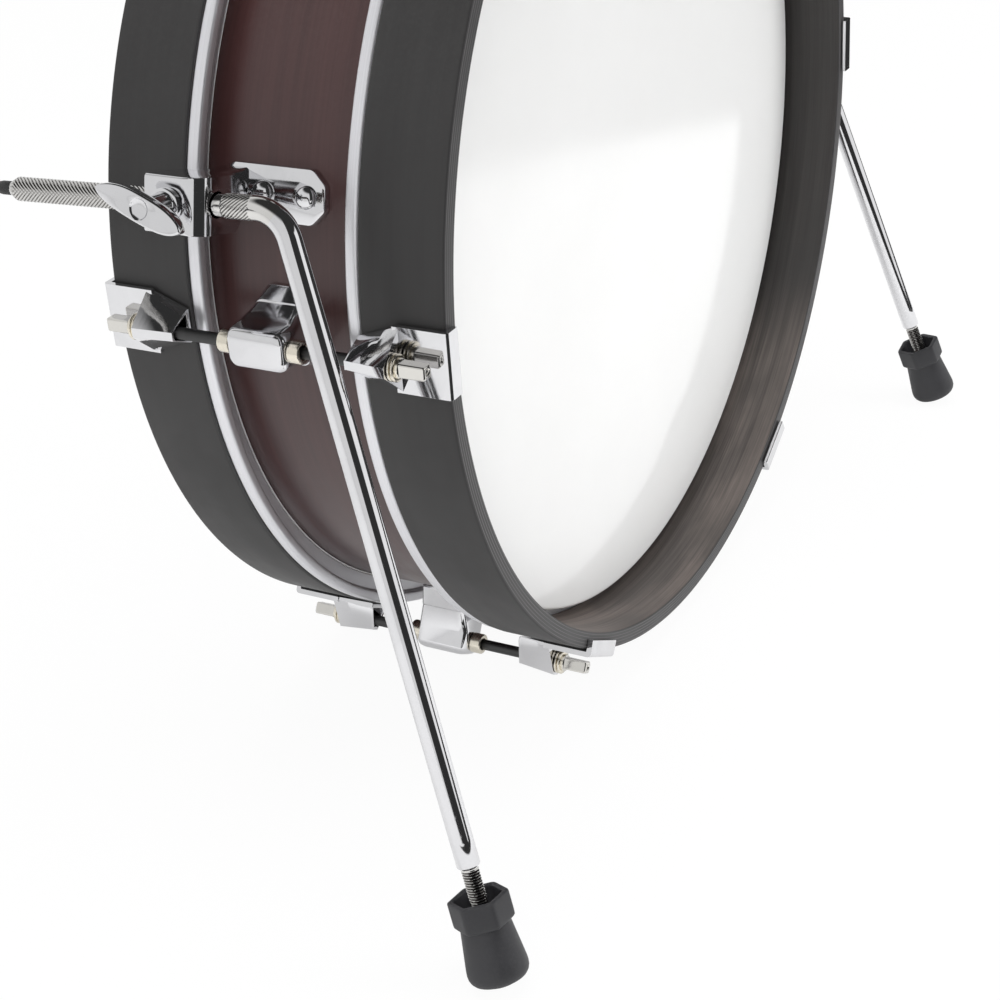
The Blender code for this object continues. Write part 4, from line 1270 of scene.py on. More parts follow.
@dataclass(frozen=True)
class Lug:
    """A lug: a casting that flares to the shell, is chamfered to its neck and swells to a pillowed nose.

    Attributes:
        sections: Height from the rods' circle, length along the axis, width and corner radius, in mm.
        nose: Its length at the nose.
        bore: The radius of the hole for the swivel nuts.
        seat_gap: Its clearance from the shell.
    """

    sections: tuple[tuple[float, float, float, float], ...] = (
        (-24.7, 25.0, 36.0, 4.0), (-24.0, 25.0, 36.0, 4.0), (-23.6, 25.0, 35.4, 4.0),
        (-15.6, 25.4, 28.9, 4.0), (-15.2, 25.4, 28.3, 4.0), (-15.0, 25.5, 27.4, 4.0),
        (-14.7, 25.6, 27.0, 4.0), (-4.4, 29.4, 19.5, 4.2), (3.4, 29.4, 18.2, 4.4),
        (5.2, 28.7, 17.2, 4.4), (6.4, 26.8, 15.2, 4.0), (7.2, 22.8, 11.8, 3.0),
    )
    nose: float = 29.4 * MM
    bore: float = 4.3 * MM
    seat_gap: float = 0.2 * MM

    def template(self, rod_circle: float, shell_outer: float) -> Mesh:
        """Loft round-cornered sections outwards from a foot that follows the shell, and bore the nose.

        Args:
            rod_circle: The rods' distance from the drum's axis.
            shell_outer: The shell's outer radius.

        Returns:
            The mesh in its own frame.
        """
        table = np.array(self.sections) * MM
        along, across = slabs(table[:, 1], table[:, 2], table[:, 3])
        heights = np.repeat(rod_circle + table[:, :1], along.shape[1], axis=1)
        heights[0] = np.sqrt((shell_outer + self.seat_gap) ** 2 - across[0] ** 2)
        casting = surface("lug", np.stack([heights, along, across], axis=-1))
        hole = bar(self.bore, -self.nose, self.nose, Matrix.Translation((rod_circle, 0, 0)))
        return bored(casting, [hole])


@dataclass(frozen=True)
class Tensioning:
    """Everything that tightens the heads: lugs, nuts, rods and claws at each place round the shell."""

    claw: Claw = Claw()
    claw_ease: float = 0.7 * MM
    rod: TensionRod = TensionRod()
    nut: SwivelNut = SwivelNut()
    lug: Lug = Lug()
    lug_ease: float = 0.9 * MM

    def build(self, shop: Workshop) -> None:
        """Make one of each, and set copies round the drum.

        Args:
            shop: The workshop.
        """
        drum, circle, nose = shop.drum, shop.drum.rod_circle, self.lug.nose / 2
        _, hoop_outer, _, face = drum.span("batter_hoop")
        claw = self.claw.template(hoop_outer, circle)
        rod = self.rod.template(self.claw.gable, face - nose + self.nut.spigot, circle)
        nut = self.nut.template(nose)
        lug = self.lug.template(circle, drum.span("shell")[1])
        rod_finishes = [Finishes.KEY_STEEL, Finishes.NICKEL, Finishes.ROD_STEEL]
        for number, angle in enumerate(drum.lug_angles(), 1):
            place = drum.around(angle)
            piece = shop.fit(f"lug_{number}", lug.copy(), place, [Finishes.CHROME])
            eased(piece, self.lug_ease)
            for head in Head:
                at_face = drum.from_face(head, angle, face)
                node = f"{head.word}_claw_{number}"
                finishes = [Finishes.CHROME, Finishes.GASKET]
                eased(shop.fit(node, claw.copy(), at_face, finishes), self.claw_ease)
                node = f"{head.word}_tension_rod_{number}"
                shop.fit(node, rod.copy(), at_face, rod_finishes, node)
                node = f"{head.word}_swivel_nut_{number}"
                turned = Matrix.Identity(4) if head is Head.BATTER else Matrix.Rotation(math.pi, 4, "X")
                at_lug = place @ Matrix.Translation((circle, 0, 0)) @ turned
                shop.fit(node, nut.copy(), at_lug, [Finishes.NICKEL])
        for template in (claw, rod, nut, lug):
            bpy.data.meshes.remove(template)


# Spurs


@dataclass(frozen=True)
class SpurBracket:
    """A spur bracket: a plate with two dome screws, a neck, and a bellied arm that grips the spur."""

    plate_length: float = 53.5 * MM
    plate_width: float = 24.0 * MM
    plate: float = 3.2 * MM
    plate_corner: float = 6.5 * MM
    plate_rim: float = 1.2 * MM
    seat_gap: float = 0.3 * MM
    neck_length: float = 10.5 * MM
    neck_width: float = 20.0 * MM
    neck_flare: float = 3.0 * MM
    neck_sink: float = 0.3 * MM  # into the plate
    neck_rows: int = 7
    shy: float = 1.6 * MM  # arm's rear side, ahead of the plate's rear end
    arm_length: float = 27.0 * MM
    arm_width: float = 23.6 * MM
    beyond_rod: float = 12.5 * MM  # outer face, past the rod's axis
    behind_rod: float = 19.6 * MM  # inner end, behind the rod's axis
    belly: float = 6.4 * MM  # bulge of the inner end
    corner: float = 1.6 * MM
    front_corner: float = 9.0 * MM
    rod_bore: float = 5.55 * MM
    bolt_bore: float = 4.3 * MM
    dome_radius: float = 5.2 * MM
    dome: float = 4.2 * MM
    dome_edge: float = 0.6 * MM
    dome_columns: int = 40
    dome_inset: float = 9.0 * MM  # first screw, from the plate's end
    dome_spacing: float = 22.0 * MM

    def template(self, shell_outer: float, rear: float, seat: Vector, rod: Matrix) -> Mesh:
        """Build the bracket in the frame at its angle round the drum.

        Args:
            shell_outer: The shell's outer radius.
            rear: Where the plate's rear end is along the axis.
            seat: Where the bolt's axis leaves the arm.
            rod: The spur's frame seen from the bracket's.

        Returns:
            The mesh in its own frame.
        """
        foot = shell_outer + self.seat_gap
        front, level = rear - self.plate_length, foot + self.plate
        back, reach = rear - self.shy, self.plate_length
        holes = [bar(self.rod_bore, -reach, 3 * reach, rod),
                 bar(self.bolt_bore, -self.beyond_rod, reach,
                     Matrix.Translation(seat) @ Matrix.Rotation(-math.pi / 2, 4, "Z"))]
        arm = bored(self.arm(back, seat), holes)
        top = seat.x - self.beyond_rod - self.behind_rod + self.belly
        rise = np.linspace(level - self.neck_sink, top, self.neck_rows)
        flare = self.neck_flare * (1 - np.sin(np.linspace(0, np.pi / 2, self.neck_rows)))
        length = self.neck_length + flare
        along, across = slabs(length, self.neck_width + flare, np.full(self.neck_rows, self.corner))
        heights = np.repeat(rise[:, None], along.shape[1], axis=1)
        points = np.stack([heights, along + back - length[:, None] / 2, across + seat.z], axis=-1)
        domes = [self.dome_mesh(level, front + self.dome_inset + i * self.dome_spacing) for i in range(2)]
        return joined("spur_bracket", [self.base(foot, front, rear), surface("neck", points), arm, *domes])

    def base(self, foot: float, front: float, rear: float) -> Mesh:
        """Build the plate, a cut-cornered outline drawn in at its bevelled rim.

        Args:
            foot: Its underside's distance from the drum's axis.
            front: Where it starts along the axis.
            rear: Where it ends.

        Returns:
            The mesh in the bracket's frame.
        """
        half, cut = self.plate_width / 2, self.plate_corner
        outline = rounded([
            (front, -half + cut), (front + cut, -half), (rear - cut, -half), (rear, -half + cut),
            (rear, half - cut), (rear - cut, half), (front + cut, half), (front, half - cut),
        ], self.corner, 4)
        middle = np.array([(front + rear) / 2, 0])
        size = np.array([self.plate_length, self.plate_width]) / 2
        inset = np.array([0, 0, 0.3, 1])[:, None, None] * self.plate_rim
        level = foot + self.plate - np.array([self.plate, self.plate_rim, 0.35 * self.plate_rim, 0])
        drawn = middle + (outline - middle) * (1 - inset / size)
        heights = np.repeat(level[:, None], len(outline), axis=1)
        heights[0] = np.sqrt(foot**2 - outline[:, 1] ** 2)
        return surface("plate", np.concatenate([heights[..., None], drawn], axis=-1))

    def arm(self, back: float, seat: Vector) -> Mesh:
        """Build the arm, one outline along the axis whose outer face falls away in an arc at the front.

        The outline has a flat outer face with round corners, and an inner end that bulges by the square of
        the distance from the middle.

        Args:
            back: Where its rear side is along the axis.
            seat: Where the bolt's axis leaves its outer face.

        Returns:
            The mesh in the bracket's frame.
        """
        half, face, soft = self.arm_width / 2, seat.x, self.corner
        share = np.linspace(-1, 1, 25)
        floor = face - self.beyond_rod - self.behind_rod
        belly = np.column_stack([floor + self.belly * share**2, half * share])
        bend = np.linspace(0, np.pi / 2, 6)
        above = np.column_stack([face - soft + soft * np.sin(bend), half - soft + soft * np.cos(bend)])
        outline = np.concatenate([belly, above, above[::-1] * [1, -1]])
        arc = np.linspace(0, np.pi / 2, 10)
        round_off = self.front_corner
        along = np.append(back - self.arm_length + round_off * (1 - np.cos(arc)), back)
        limit = np.append(face - round_off + round_off * np.sin(arc), face)
        points = np.zeros((len(along), len(outline), 3))
        points[..., 0] = np.minimum(outline[:, 0], limit[:, None])
        points[..., 1] = along[:, None]
        points[..., 2] = outline[:, 1] + seat.z
        return surface("arm", points)

    def dome_mesh(self, level: float, place: float) -> Mesh:
        """Turn a screw's domed head, a shallow arc on a short upright edge.

        Args:
            level: The plate's upper face.
            place: The screw's place along the axis.

        Returns:
            The mesh in the bracket's frame.
        """
        arc = np.linspace(0.08, np.pi / 2, 10)[::-1]
        radii = np.concatenate([[self.dome_radius], self.dome_radius * np.sin(arc)])
        heights = np.concatenate([[-0.4 * MM], self.dome_edge + (self.dome - self.dome_edge) * np.cos(arc)])
        mesh = surface("dome", revolved(np.column_stack([radii, heights]), self.dome_columns))
        mesh.transform(Matrix.Translation((level, place, 0)) @ Matrix.Rotation(-math.pi / 2, 4, "Z"))
        return mesh


@dataclass(frozen=True)
class WingBolt:
    """A wing bolt: shank, stepped hub and a leaf-shaped handle across its axis, with a dimpled face.

    Heights are measured from the arm's face.
    """

    shank_radius: float = 4.0 * MM
    hub_radius: float = 7.2 * MM
    hub: float = 3.6 * MM
    hub_gap: float = 0.3 * MM
    hub_edge: float = 0.5 * MM
    neck_radius: float = 5.6 * MM
    neck_top: float = 4.6 * MM
    foot: float = 10.5 * MM  # where the handle starts
    face: float = 19.5 * MM
    edge: float = 4.0 * MM  # depth of the handle's edge
    face_ease: float = 1.1 * MM
    span: float = 42.0 * MM
    width: float = 11.5 * MM
    turn: float = 20.0  # degrees from the drum's axis
    curl: float = 5.0 * MM  # of the rear tip, outwards
    dimple_radius: float = 4.4 * MM
    dimple_depth: float = 1.4 * MM
    hub_columns: int = 56
    columns: int = 120

    def template(self, depth: float) -> Mesh:
        """Build the bolt with its axis along +Y from the arm's face and its handle along X.

        Args:
            depth: How far the shank reaches in under the arm's face.

        Returns:
            The mesh in its own frame.
        """
        shank, hub, gap, edge = self.shank_radius, self.hub_radius, self.hub_gap, self.hub_edge
        profile = np.array([
            (shank * 0.6, -depth), (shank, -depth + 1.2 * MM), (shank, gap), (hub - edge, gap),
            (hub, gap + edge), (hub, self.hub - edge), (hub - edge, self.hub),
            (self.neck_radius, self.hub + 0.1 * MM), (self.neck_radius - 0.2 * MM, self.hub + 1 * MM),
            (self.neck_top, self.foot + 1 * MM), (self.neck_top, self.foot + 3 * MM),
        ])
        turned = surface("hub", revolved(profile, self.hub_columns), sharp=40)
        return joined("wing_bolt", [turned, self.handle()])

    def handle(self) -> Mesh:
        """Build the handle.

        Its outline is (L cos a, W (1 - |cos a|^3)^0.65) with the sign of sin a. The rings swell from a small
        share of it at the foot to the whole at the edge, are drawn in round the face, and pass over to
        circles at the dimple. Past a quarter of L the rear tip curls outwards by the square of the distance.

        Returns:
            The mesh in the bolt's frame.
        """
        angle = np.linspace(0, TURN, self.columns, endpoint=False)
        cosine, sine = np.cos(angle), np.sin(angle)
        shape = np.stack([cosine, np.sign(sine) * (1 - np.abs(cosine) ** 3) ** 0.65], axis=-1)
        size = np.array([self.span, self.width]) / 2
        swell = np.linspace(0.12, 1, 10)
        under = self.foot + (self.face - self.edge - self.foot) * (1 - np.sqrt(np.maximum(1 - swell**2, 0)))
        arc = np.linspace(0, np.pi / 2, 6)
        inset = self.face_ease * (1 - np.cos(arc))
        leaves = np.concatenate([swell[:, None] * size, size - inset[:, None]])
        bowl = np.array([1.06, 1.0, 0.93, 0.75, 0.5, 0.25]) * self.dimple_radius
        sunk = np.array([0, 0.12, 0.45, 0.8, 0.95, 1.0]) * self.dimple_depth
        circles = np.stack([cosine, sine], axis=-1) * bowl[:, None, None]
        rings = np.concatenate([shape * leaves[:, None], circles])
        heights = np.concatenate([under, self.face - self.face_ease * (1 - np.sin(arc)), self.face - sunk])
        curl = self.curl * np.clip(rings[..., 0] / size[0] - 0.25, 0, None) ** 2
        points = np.stack([rings[..., 0], heights[:, None] + curl, rings[..., 1]], axis=-1)
        return surface("handle", points, sharp=50)


@dataclass(frozen=True)
class SpurLine:
    """One side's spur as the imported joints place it.

    Attributes:
        corner: Where the rod's axis and the leg's axis meet.
        rear: The way along the rod to its rear end.
        leg: The way down the leg.
    """

    corner: np.ndarray
    rear: np.ndarray
    leg: np.ndarray

    @classmethod
    def of(cls, side: Side) -> "SpurLine":
        """Read a side's spur from its fold and foot joints."""
        fold = joint_named(f"{side.word}_spur_fold")
        foot = joint_named(f"{side.word}_foot_screw")
        rear = np.array(fold["axis"]) * -side.value
        return cls(np.array(fold["pos_m"]), rear / np.linalg.norm(rear), np.array(foot["axis"]))

    @property
    def across(self) -> np.ndarray:
        """Return the unit normal of the plane that the bent rod lies in."""
        normal = np.cross(self.rear, self.leg)
        return normal / np.linalg.norm(normal)

    @property
    def frame(self) -> Matrix:
        """Return the frame at the corner whose +Y runs along the rod to its rear end."""
        basis = Matrix((Vector(self.across), Vector(self.rear), Vector(np.cross(self.across, self.rear))))
        return Matrix.Translation(Vector(self.corner)) @ basis.transposed().to_4x4()


@dataclass(frozen=True)
class SpurRod:
    """A spur: knurled rod, bend, plain leg and threaded stud.

    Places along it are measured from the corner where the rod's axis and the leg's axis meet.
    """

    radius: float = 5.25 * MM
    bend_radius: float = 16.0 * MM
    rear_length: float = 138.0 * MM
    rear_chamfer: float = 2.0 * MM
    rear_taper: float = 3.6 * MM
    leg_length: float = 344.0 * MM  # to the foot's sole
    foot_length: float = 42.0 * MM
    stud_radius: float = 4.0 * MM
    stud_showing: float = 13.7 * MM
    stud_grip: float = 20.0 * MM
    knurl_teeth: int = 20
    knurl_pitch: float = 1.9 * MM
    knurl_depth: float = 0.42 * MM
    waist: tuple[float, float] = (26.6 * MM, 44.0 * MM)  # start and end of the plain band
    waist_depth: float = 0.5 * MM
    front_knurl: float = 13.4 * MM  # end of the front knurl, some way round the bend
    thread_pitch: float = 1.25 * MM
    thread_depth: float = 0.55 * MM
    knurl_rows: int = 420
    bend_rows: int = 72
    leg_rows: int = 24
    thread_rows: int = 230
    columns: int = 120

    def build(self, side: Side, shop: Workshop) -> None:
        """Carry a ring along the straight rod, the bend's arc, the leg and the stud.

        The knurl's depth is the nearer of two helical grooves, and the thread's is a triangle wave of the
        distance in pitches plus the angle in turns.

        Args:
            side: Which side.
            shop: The workshop.
        """
        line = SpurLine.of(side)
        bend = math.acos(float(np.clip(-line.rear @ line.leg, -1, 1)))
        reach = self.bend_radius * math.tan(bend / 2)
        inward = line.leg + line.rear * (line.leg @ -line.rear)
        inward /= np.linalg.norm(inward)
        knurl = np.linspace(self.rear_length - self.rear_taper, reach + 0.3 * MM, self.knurl_rows)
        turn = np.linspace(0, bend, self.bend_rows)
        leg_end = self.leg_length - self.foot_length - self.stud_showing
        shoulder = self.radius - self.stud_radius
        stud_end = leg_end + self.stud_showing + self.stud_grip
        plain = np.linspace(reach + 2 * MM, leg_end - shoulder, self.leg_rows)
        leg = np.concatenate([plain, [leg_end - shoulder / 2, leg_end]])
        stud = np.linspace(leg_end + 0.2 * MM, stud_end, self.thread_rows)
        centre = line.corner + line.rear * reach + inward * self.bend_radius
        swing = -np.outer(np.sin(turn), line.rear) - np.outer(np.cos(turn), inward)
        places = np.concatenate([
            line.corner + np.outer([self.rear_length], line.rear), line.corner + np.outer(knurl, line.rear),
            centre + self.bend_radius * swing,
            line.corner + np.outer(leg, line.leg), line.corner + np.outer(stud, line.leg),
        ])
        leg_out = np.cross(line.across, line.leg)
        straight_out = np.cross(line.across, -line.rear)
        flips = np.sign(swing[0] @ straight_out)
        sideways = np.concatenate([
            np.repeat(straight_out[None], 1 + len(knurl), axis=0), swing * flips,
            np.repeat(leg_out[None], len(leg) + len(stud), axis=0),
        ])
        angle = np.linspace(0, TURN, self.columns, endpoint=False)
        distance = np.concatenate([knurl, reach - turn * self.bend_radius])
        cut = self.knurl(distance, angle)
        thin = self.waist_depth * self.between(distance, *self.waist)[:, None]
        thread = ridge(stud[:, None] / self.thread_pitch + angle / TURN)
        fade = np.clip((stud - stud[0]) / (1.5 * MM), 0, 1)[:, None]
        taper = np.concatenate([0 * plain, [0.35, 1.0]])
        leg_radius = np.repeat((self.radius - shoulder * taper)[:, None], self.columns, axis=1)
        rear_end = np.zeros((1, self.columns))
        radius = np.concatenate([
            rear_end + self.radius - self.rear_chamfer, self.radius - thin - self.knurl_depth * cut,
            leg_radius, self.stud_radius - self.thread_depth * thread * fade,
        ])
        groove = np.concatenate([rear_end, cut, 0 * leg_radius, thread * fade])
        rings = np.cos(angle)[None, :, None] * sideways[:, None] + np.sin(angle)[None, :, None] * line.across
        bright = len(turn) // 2 + len(leg) - 1
        bands = [0] * (1 + len(knurl) + len(turn) // 2) + [1] * bright + [0] * len(stud)
        points = places[:, None] + radius[..., None] * rings
        node = f"{side.word}_spur_rod"
        mesh = surface(node, points, finish=bands, sharp=60, groove=groove)
        finishes = [Finishes.KNURLED, Finishes.CHROME]
        shop.fit(node, mesh, Matrix.Identity(4), finishes, f"{side.word}_spur")

    @staticmethod
    def between(distance: np.ndarray, low: float, high: float) -> np.ndarray:
        """Return 1 between two distances and 0 outside them, with a short ramp at each."""
        ramp = 0.7 * MM
        return np.clip(np.minimum(distance - low, high - distance) / ramp + 0.5, 0, 1)

    def knurl(self, distance: np.ndarray, angle: np.ndarray) -> np.ndarray:
        """Return how deep each point lies in the knurl, from 0 on a crest to 1 in a groove.

        Grooves are the low places of triangle waves of turns plus or minus pitches. The rear run has both
        ways, each deeper on its own half of the rod, and the short front run has one.

        Args:
            distance: Places along the rod's axis from the corner.
            angle: Angles round it.

        Returns:
            Depths, places by angles.
        """
        turns = angle[None] / TURN * self.knurl_teeth
        pitches = distance[:, None] / self.knurl_pitch
        one, other = (1 - np.clip(1.7 * ridge(turns + way * pitches), 0, 1) for way in (1, -1))
        half = np.clip(0.5 + 1.4 * np.cos(angle), 0.12, 1)[None]
        crossed = np.maximum(one * half, other * (1.12 - half))
        rear = np.clip((distance - self.waist[1]) / (2 * MM), 0, 1)[:, None]
        front = self.between(distance, self.front_knurl, self.waist[0])[:, None]
        return crossed * rear + other * front


@dataclass(frozen=True)
class RodEnd:
    """The dark tapered plug at a spur rod's rear end."""

    radius: float = 3.0 * MM
    tip_radius: float = 2.0 * MM
    length: float = 11.0 * MM
    gap: float = 0.3 * MM
    columns: int = 40

    def build(self, side: Side, rear_length: float, shop: Workshop) -> None:
        """Turn the plug's profile along the rod's axis.

        Args:
            side: Which side.
            rear_length: From the spur's corner to the rod's rear end.
            shop: The workshop.
        """
        start = rear_length + self.gap
        end, middle = start + self.length, start + self.length / 2
        profile = np.array([
            (self.radius - 0.3 * MM, start), (self.radius, start + 0.3 * MM),
            (self.radius, middle - 0.4 * MM), (self.radius - 0.05 * MM, middle),
            (self.tip_radius + 0.1 * MM, end - 0.7 * MM), (self.tip_radius - 0.25 * MM, end - 0.15 * MM),
            (self.tip_radius * 0.6, end),
        ])
        node = f"{side.word}_rod_end"
        mesh = surface(node, revolved(profile, self.columns))
        shop.fit(node, mesh, SpurLine.of(side).frame, [Finishes.PLASTIC], node)


@dataclass(frozen=True)
class Foot:
    """A rubber foot: a six-sided cup on a flared body with a domed sole."""

    length: float = 42.0 * MM
    radius: float = 13.85 * MM
    neck: float = 11.25 * MM
    sole: float = 19.0 * MM  # radius of the dome
    cup_half: float = 12.2 * MM
    cup: float = 12.7 * MM
    cup_wall: float = 2.6 * MM
    cup_depth: float = 9.0 * MM
    bore: float = 4.3 * MM
    bore_depth: float = 32.0 * MM  # from the cup's rim
    turn: float = 30.0  # degrees of the cup's flats about the leg
    columns: int = 120

    def build(self, side: Side, leg_length: float, shop: Workshop) -> None:
        """Carry a ring that changes from round to six-sided along the foot's profile, and level the sole.

        The profile's rows are radius, height over the sole and how six-sided the ring is there.

        Args:
            side: Which side.
            leg_length: From the spur's corner to the sole.
            shop: The workshop.
        """
        dome = np.linspace(0.06, 0.62, 9)
        sole = np.column_stack([self.sole * np.sin(dome), self.sole * (1 - np.cos(dome)), 0 * dome])
        half, bore, rim = self.cup_half, self.bore, self.length
        base, floor, inside = rim - self.cup, rim - self.cup_depth, half - self.cup_wall
        profile = np.concatenate([sole, [
            (12.4 * MM, 4.0 * MM, 0), (13.2 * MM, 5.0 * MM, 0), (13.7 * MM, 6.3 * MM, 0),
            (self.radius, 8.0 * MM, 0), (13.7 * MM, 10.0 * MM, 0), (13.0 * MM, 15.5 * MM, 0),
            (12.2 * MM, 21.5 * MM, 0), (self.neck + 0.15 * MM, base - 1.5 * MM, 0), (self.neck, base, 0),
            (self.neck + 0.2 * MM, base + 0.1 * MM, 0.5), (half - 0.5 * MM, base + 0.35 * MM, 0.9),
            (half - 0.12 * MM, base + 1.0 * MM, 1), (half, base + 2.0 * MM, 1), (half, rim - 0.8 * MM, 1),
            (half - 0.15 * MM, rim - 0.25 * MM, 1), (half - 0.6 * MM, rim, 1), (inside + 0.5 * MM, rim, 1),
            (inside + 0.1 * MM, rim - 0.3 * MM, 1), (inside, rim - 1.0 * MM, 1),
            (inside - 0.2 * MM, floor + 0.6 * MM, 1), (inside - 0.8 * MM, floor, 1),
            (bore + 0.3 * MM, floor, 0), (bore, floor - 0.3 * MM, 0), (bore, rim - self.bore_depth, 0),
        ]])
        angle = np.linspace(0, TURN, self.columns, endpoint=False)
        six = hexagonal_ring(angle - math.radians(self.turn), 26.0)
        shape = 1 + profile[:, 2:] * (six - 1)
        radius = profile[:, :1] * shape
        line = SpurLine.of(side)
        up = -line.leg
        ahead = np.cross(up, np.array([1.0, 0.0, 0.0]))
        ahead /= np.linalg.norm(ahead)
        first = np.cross(ahead, up)
        rings = np.cos(angle)[:, None] * first + np.sin(angle)[:, None] * ahead
        points = line.corner + line.leg * leg_length + radius[..., None] * rings + profile[:, None, 1:2] * up
        points[..., 2] = np.maximum(points[..., 2], 0)
        node = f"{side.word}_spur_foot"
        mesh = surface(node, points, sharp=55)
        shop.fit(node, mesh, Matrix.Identity(4), [Finishes.RUBBER], f"{side.word}_foot")


@dataclass(frozen=True)
class Spurs:
    """Both spurs, each with its bracket, wing bolt, rod, end plug and foot."""

    bracket: SpurBracket = SpurBracket()
    bracket_ease: float = 0.7 * MM
    bolt: WingBolt = WingBolt()
    bolt_gap: float = 0.3 * MM
    rod: SpurRod = SpurRod()
    end: RodEnd = RodEnd()
    foot: Foot = Foot()

    def build(self, shop: Workshop) -> None:
        """Build each side from its packed joints.

        Args:
            shop: The workshop.
        """
        drum, chrome = shop.drum, [Finishes.CHROME]
        _, shell_outer, _, _ = drum.span("shell")
        for side in Side:
            joint = joint_named(f"{side.word}_wing_bolt_turn")
            out = drum.matrix.to_3x3().inverted() @ Vector(joint["axis"])
            at = drum.around(math.atan2(out.z, out.x))
            seat = at.inverted() @ Vector(joint["pos_m"])
            rod = at.inverted() @ SpurLine.of(side).frame
            node = f"{side.word}_spur_bracket"
            mesh = self.bracket.template(shell_outer, drum.span(node)[3], seat, rod)
            eased(shop.fit(node, mesh, at, chrome), self.bracket_ease)
            shank = self.bracket.beyond_rod - self.rod.radius - self.bolt_gap
            lean = side.value * math.radians(self.bolt.turn)
            along, aside = math.cos(lean), math.sin(lean)
            turned = Matrix(((0, 1, 0), (along, 0, aside), (aside, 0, -along))).to_4x4()
            turned.translation = seat
            node = f"{side.word}_wing_bolt"
            shop.fit(node, self.bolt.template(shank), at @ turned, chrome, node)
            self.rod.build(side, shop)
            self.end.build(side, self.rod.rear_length, shop)
            self.foot.build(side, self.rod.leg_length, shop)


# The studio


@dataclass(frozen=True)
class Lamp:
    """A soft lamp that faces a point on the drum and is not seen, even in mirrors.

    Attributes:
        name: Its name.
        place: Where it hangs.
        size: The side of its square face.
        power: Its power in watts.
    """

    name: str
    place: tuple[float, float, float]
    size: float
    power: float

    def build(self, target: Vector) -> None:
        """Hang the lamp and turn it to its target."""
        light = bpy.data.lights.new(self.name, "AREA")
        light.shape = "SQUARE"
        light.size = self.size
        light.energy = self.power
        lamp = bpy.data.objects.new(self.name, light)
        bpy.context.scene.collection.objects.link(lamp)
        lamp.location = self.place
        lamp.rotation_euler = (target - Vector(self.place)).to_track_quat("-Z", "Y").to_euler()
        lamp.visible_camera = False
        lamp.visible_glossy = False


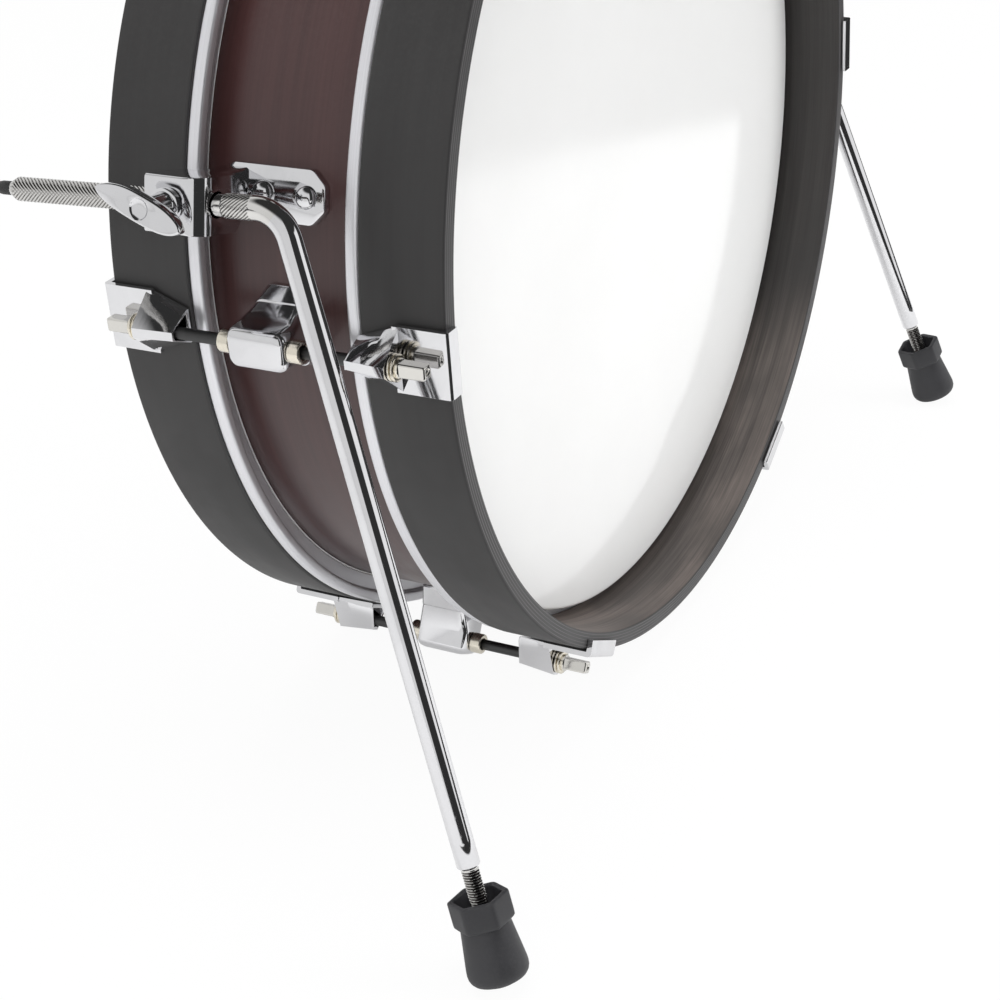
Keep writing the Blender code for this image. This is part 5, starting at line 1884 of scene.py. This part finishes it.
@dataclass(frozen=True)
class Studio:
    """The pale floor, the soft light and the camera.

    Attributes:
        camera_place: Where the camera stands.
        camera_turn: Its turn about X, Y and Z, in degrees.
        lens: Its focal length on a sensor 36 mm wide, in millimetres.
        floor_size: The floor's side.
        floor_colour: The floor's colour.
        floor_white: How much of the floor is plain white to the camera, the rest showing the shadow.
        floor_mirror: The same in mirrors.
        floor_ends: The ways, in degrees from +X, and the distances at which the lit floor ends in mirrors.
        floor_again: The way in which it is lit again, with the distance from which it is.
        floor_soft: Half the width of the step at each of these ends.
        room: The brightness of the dark room in mirrors.
        ambient: The even light that the room gives to what is not a mirror.
        windows: The bright parts of the room: the way to the middle of each, half its width and its top in
            degrees, its brightness, and how softly its top ends.
        window_soft: How softly the sides of each end.
        lamps: The lamps.
        target: The point that they face.
    """

    camera_place: tuple[float, float, float] = (-0.8884, -0.43492, 0.61815)
    camera_turn: tuple[float, float, float] = (60.001, 0.243, -62.253)
    lens: float = 72.38
    floor_size: float = 6.0
    floor_colour: tuple[float, float, float] = (0.9, 0.9, 0.9)
    floor_white: float = 0.95
    floor_mirror: float = 0.45
    floor_ends: tuple[tuple[float, float], ...] = ((236.0, 0.5), (317.0, 0.9))
    floor_again: tuple[float, float] = (150.0, 0.45)
    floor_soft: float = 0.03
    room: float = 0.035
    ambient: float = 0.37
    windows: tuple[tuple[float, ...], ...] = ((303.5, 31.5, 30.0, 1.0, 0.04), (122.0, 92.0, 50.0, 0.8, 0.12))
    window_soft: float = 0.02
    lamps: tuple[Lamp, ...] = (
        Lamp("key_softbox", (1.1, -1.9, 1.5), 1.5, 32.5),
        Lamp("side_softbox", (-1.9, -0.5, 1.2), 1.2, 11.0),
        Lamp("top_softbox", (0.0, 0.2, 2.3), 1.8, 38.0),
    )
    target: tuple[float, float, float] = (0.0, 0.0, 0.2)

    def build(self) -> None:
        """Lay the floor, light the room and set the camera."""
        self.floor()
        self.surround()
        for lamp in self.lamps:
            lamp.build(Vector(self.target))
        self.camera()
        bpy.context.scene.view_settings.view_transform = "Standard"

    def floor(self) -> None:
        """Lay a wide pale floor, near white to the camera and in mirrors, that keeps a soft shadow."""
        half = self.floor_size / 2
        corners = [(-half, -half, 0), (half, -half, 0), (half, half, 0), (-half, half, 0)]
        mesh = bpy.data.meshes.new("floor")
        mesh.from_pydata(corners, [], [(0, 1, 2, 3)])
        floor = bpy.data.objects.new("floor", mesh)
        bpy.context.scene.collection.objects.link(floor)
        material = bpy.data.materials.new("pale_floor")
        material.use_nodes = True
        graph = Graph(material.node_tree)
        shader = material.node_tree.nodes["Principled BSDF"]
        shader.inputs["Base Color"].default_value = opaque(self.floor_colour)
        shader.inputs["Roughness"].default_value = 0.9
        shader.inputs["Specular IOR Level"].default_value = 0.0
        seen, mirrored = self.rays(graph)
        place = graph.node("TexCoord").outputs["Object"]
        soft = self.floor_soft
        ends = [graph.remap(self.towards(graph, place, way), end - soft, end + soft, 1.0, 0.0, True)
                for way, end in self.floor_ends]
        way, start = self.floor_again
        again = graph.remap(self.towards(graph, place, way), start - soft, start + soft, 0.0, 1.0, True)
        lit = graph.math("MAXIMUM", graph.math("MULTIPLY", *ends), again)
        white = graph.node("Emission", {"Color": (1.0, 1.0, 1.0, 1.0), "Strength": 1.0})
        dark = graph.node("Emission", {"Color": (1.0, 1.0, 1.0, 1.0), "Strength": self.room})
        share = graph.math("MAXIMUM", graph.math("MULTIPLY", seen, self.floor_white),
                           graph.math("MULTIPLY", mirrored, self.floor_mirror))
        pale = graph.node("MixShader", {0: share, 1: shader.outputs[0], 2: white.outputs[0]})
        unlit = graph.math("MULTIPLY", mirrored, graph.math("SUBTRACT", 1.0, lit))
        both = graph.node("MixShader", {0: unlit, 1: pale.outputs[0], 2: dark.outputs[0]})
        graph.feed(material.node_tree.nodes["Material Output"].inputs["Surface"], both.outputs[0])
        mesh.materials.append(material)

    @staticmethod
    def rays(graph: Graph) -> tuple[NodeSocket, NodeSocket]:
        """Return whether a ray comes from the camera, and whether it comes from a mirror or through glass."""
        path = graph.node("LightPath")
        mirrored = graph.math("MAXIMUM", path.outputs["Is Glossy Ray"], path.outputs["Is Transmission Ray"])
        return path.outputs["Is Camera Ray"], mirrored

    @staticmethod
    def towards(graph: Graph, point: object, way: float) -> NodeSocket:
        """Return how far a point lies in a level direction, given in degrees from +X."""
        side = (math.cos(math.radians(way)), math.sin(math.radians(way)), 0.0)
        return graph.node("VectorMath", {0: point, 1: side}, operation="DOT_PRODUCT").outputs["Value"]

    def surround(self) -> None:
        """Light the room evenly, and give mirrors a dark room with bright windows."""
        world = bpy.data.worlds.new("studio")
        world.use_nodes = True
        bpy.context.scene.world = world
        graph = Graph(world.node_tree)
        way = graph.node("TexCoord").outputs["Generated"]
        height = graph.node("SeparateXYZ", {0: way}).outputs["Z"]
        flat = graph.stretch(way, (1.0, 1.0, 0.0))
        level = graph.node("VectorMath", {0: flat}, operation="NORMALIZE").outputs[0]
        shown: float | NodeSocket = self.room
        for middle, reach, top, bright, soft in self.windows:
            edge, rim = math.cos(math.radians(reach)), math.sin(math.radians(top))
            facing = self.towards(graph, level, middle)
            side = self.window_soft
            within = graph.remap(facing, edge - side, edge + side, 0.0, bright, True)
            under = graph.remap(height, rim - soft, rim + soft, 1.0, 0.0, True)
            shown = graph.math("MAXIMUM", graph.math("MULTIPLY", within, under), shown)
        seen, mirrored = self.rays(graph)
        light = graph.node("Mix", {0: mirrored, 2: self.ambient, 3: shown}).outputs[0]
        background = world.node_tree.nodes["Background"]
        background.inputs["Color"].default_value = (1.0, 1.0, 1.0, 1.0)
        graph.feed(background.inputs["Strength"], graph.math("MAXIMUM", seen, light))

    def camera(self) -> None:
        """Set the camera where the photograph was taken from."""
        data = bpy.data.cameras.new("photo_camera")
        data.lens = self.lens
        data.sensor_width = 36.0
        camera = bpy.data.objects.new("photo_camera", data)
        bpy.context.scene.collection.objects.link(camera)
        camera.location = self.camera_place
        camera.rotation_euler = [math.radians(turn) for turn in self.camera_turn]
        bpy.context.scene.camera = camera


def main() -> None:
    """Build the drum's pieces in order, then the studio round them."""
    logging.basicConfig(level=logging.INFO, format="%(message)s")
    drum = DrumFrame.from_joints(frame["joints"])
    shop = Workshop(drum, Effects(drum))
    Shell().build(shop)
    for head in Head:
        FilmHead().build(head, shop)
        HeadHoop().build(head, shop)
        WoodHoop().build(head, shop)
    Tensioning().build(shop)
    Spurs().build(shop)
    Studio().build()


if __name__ == "__main__":
    main()
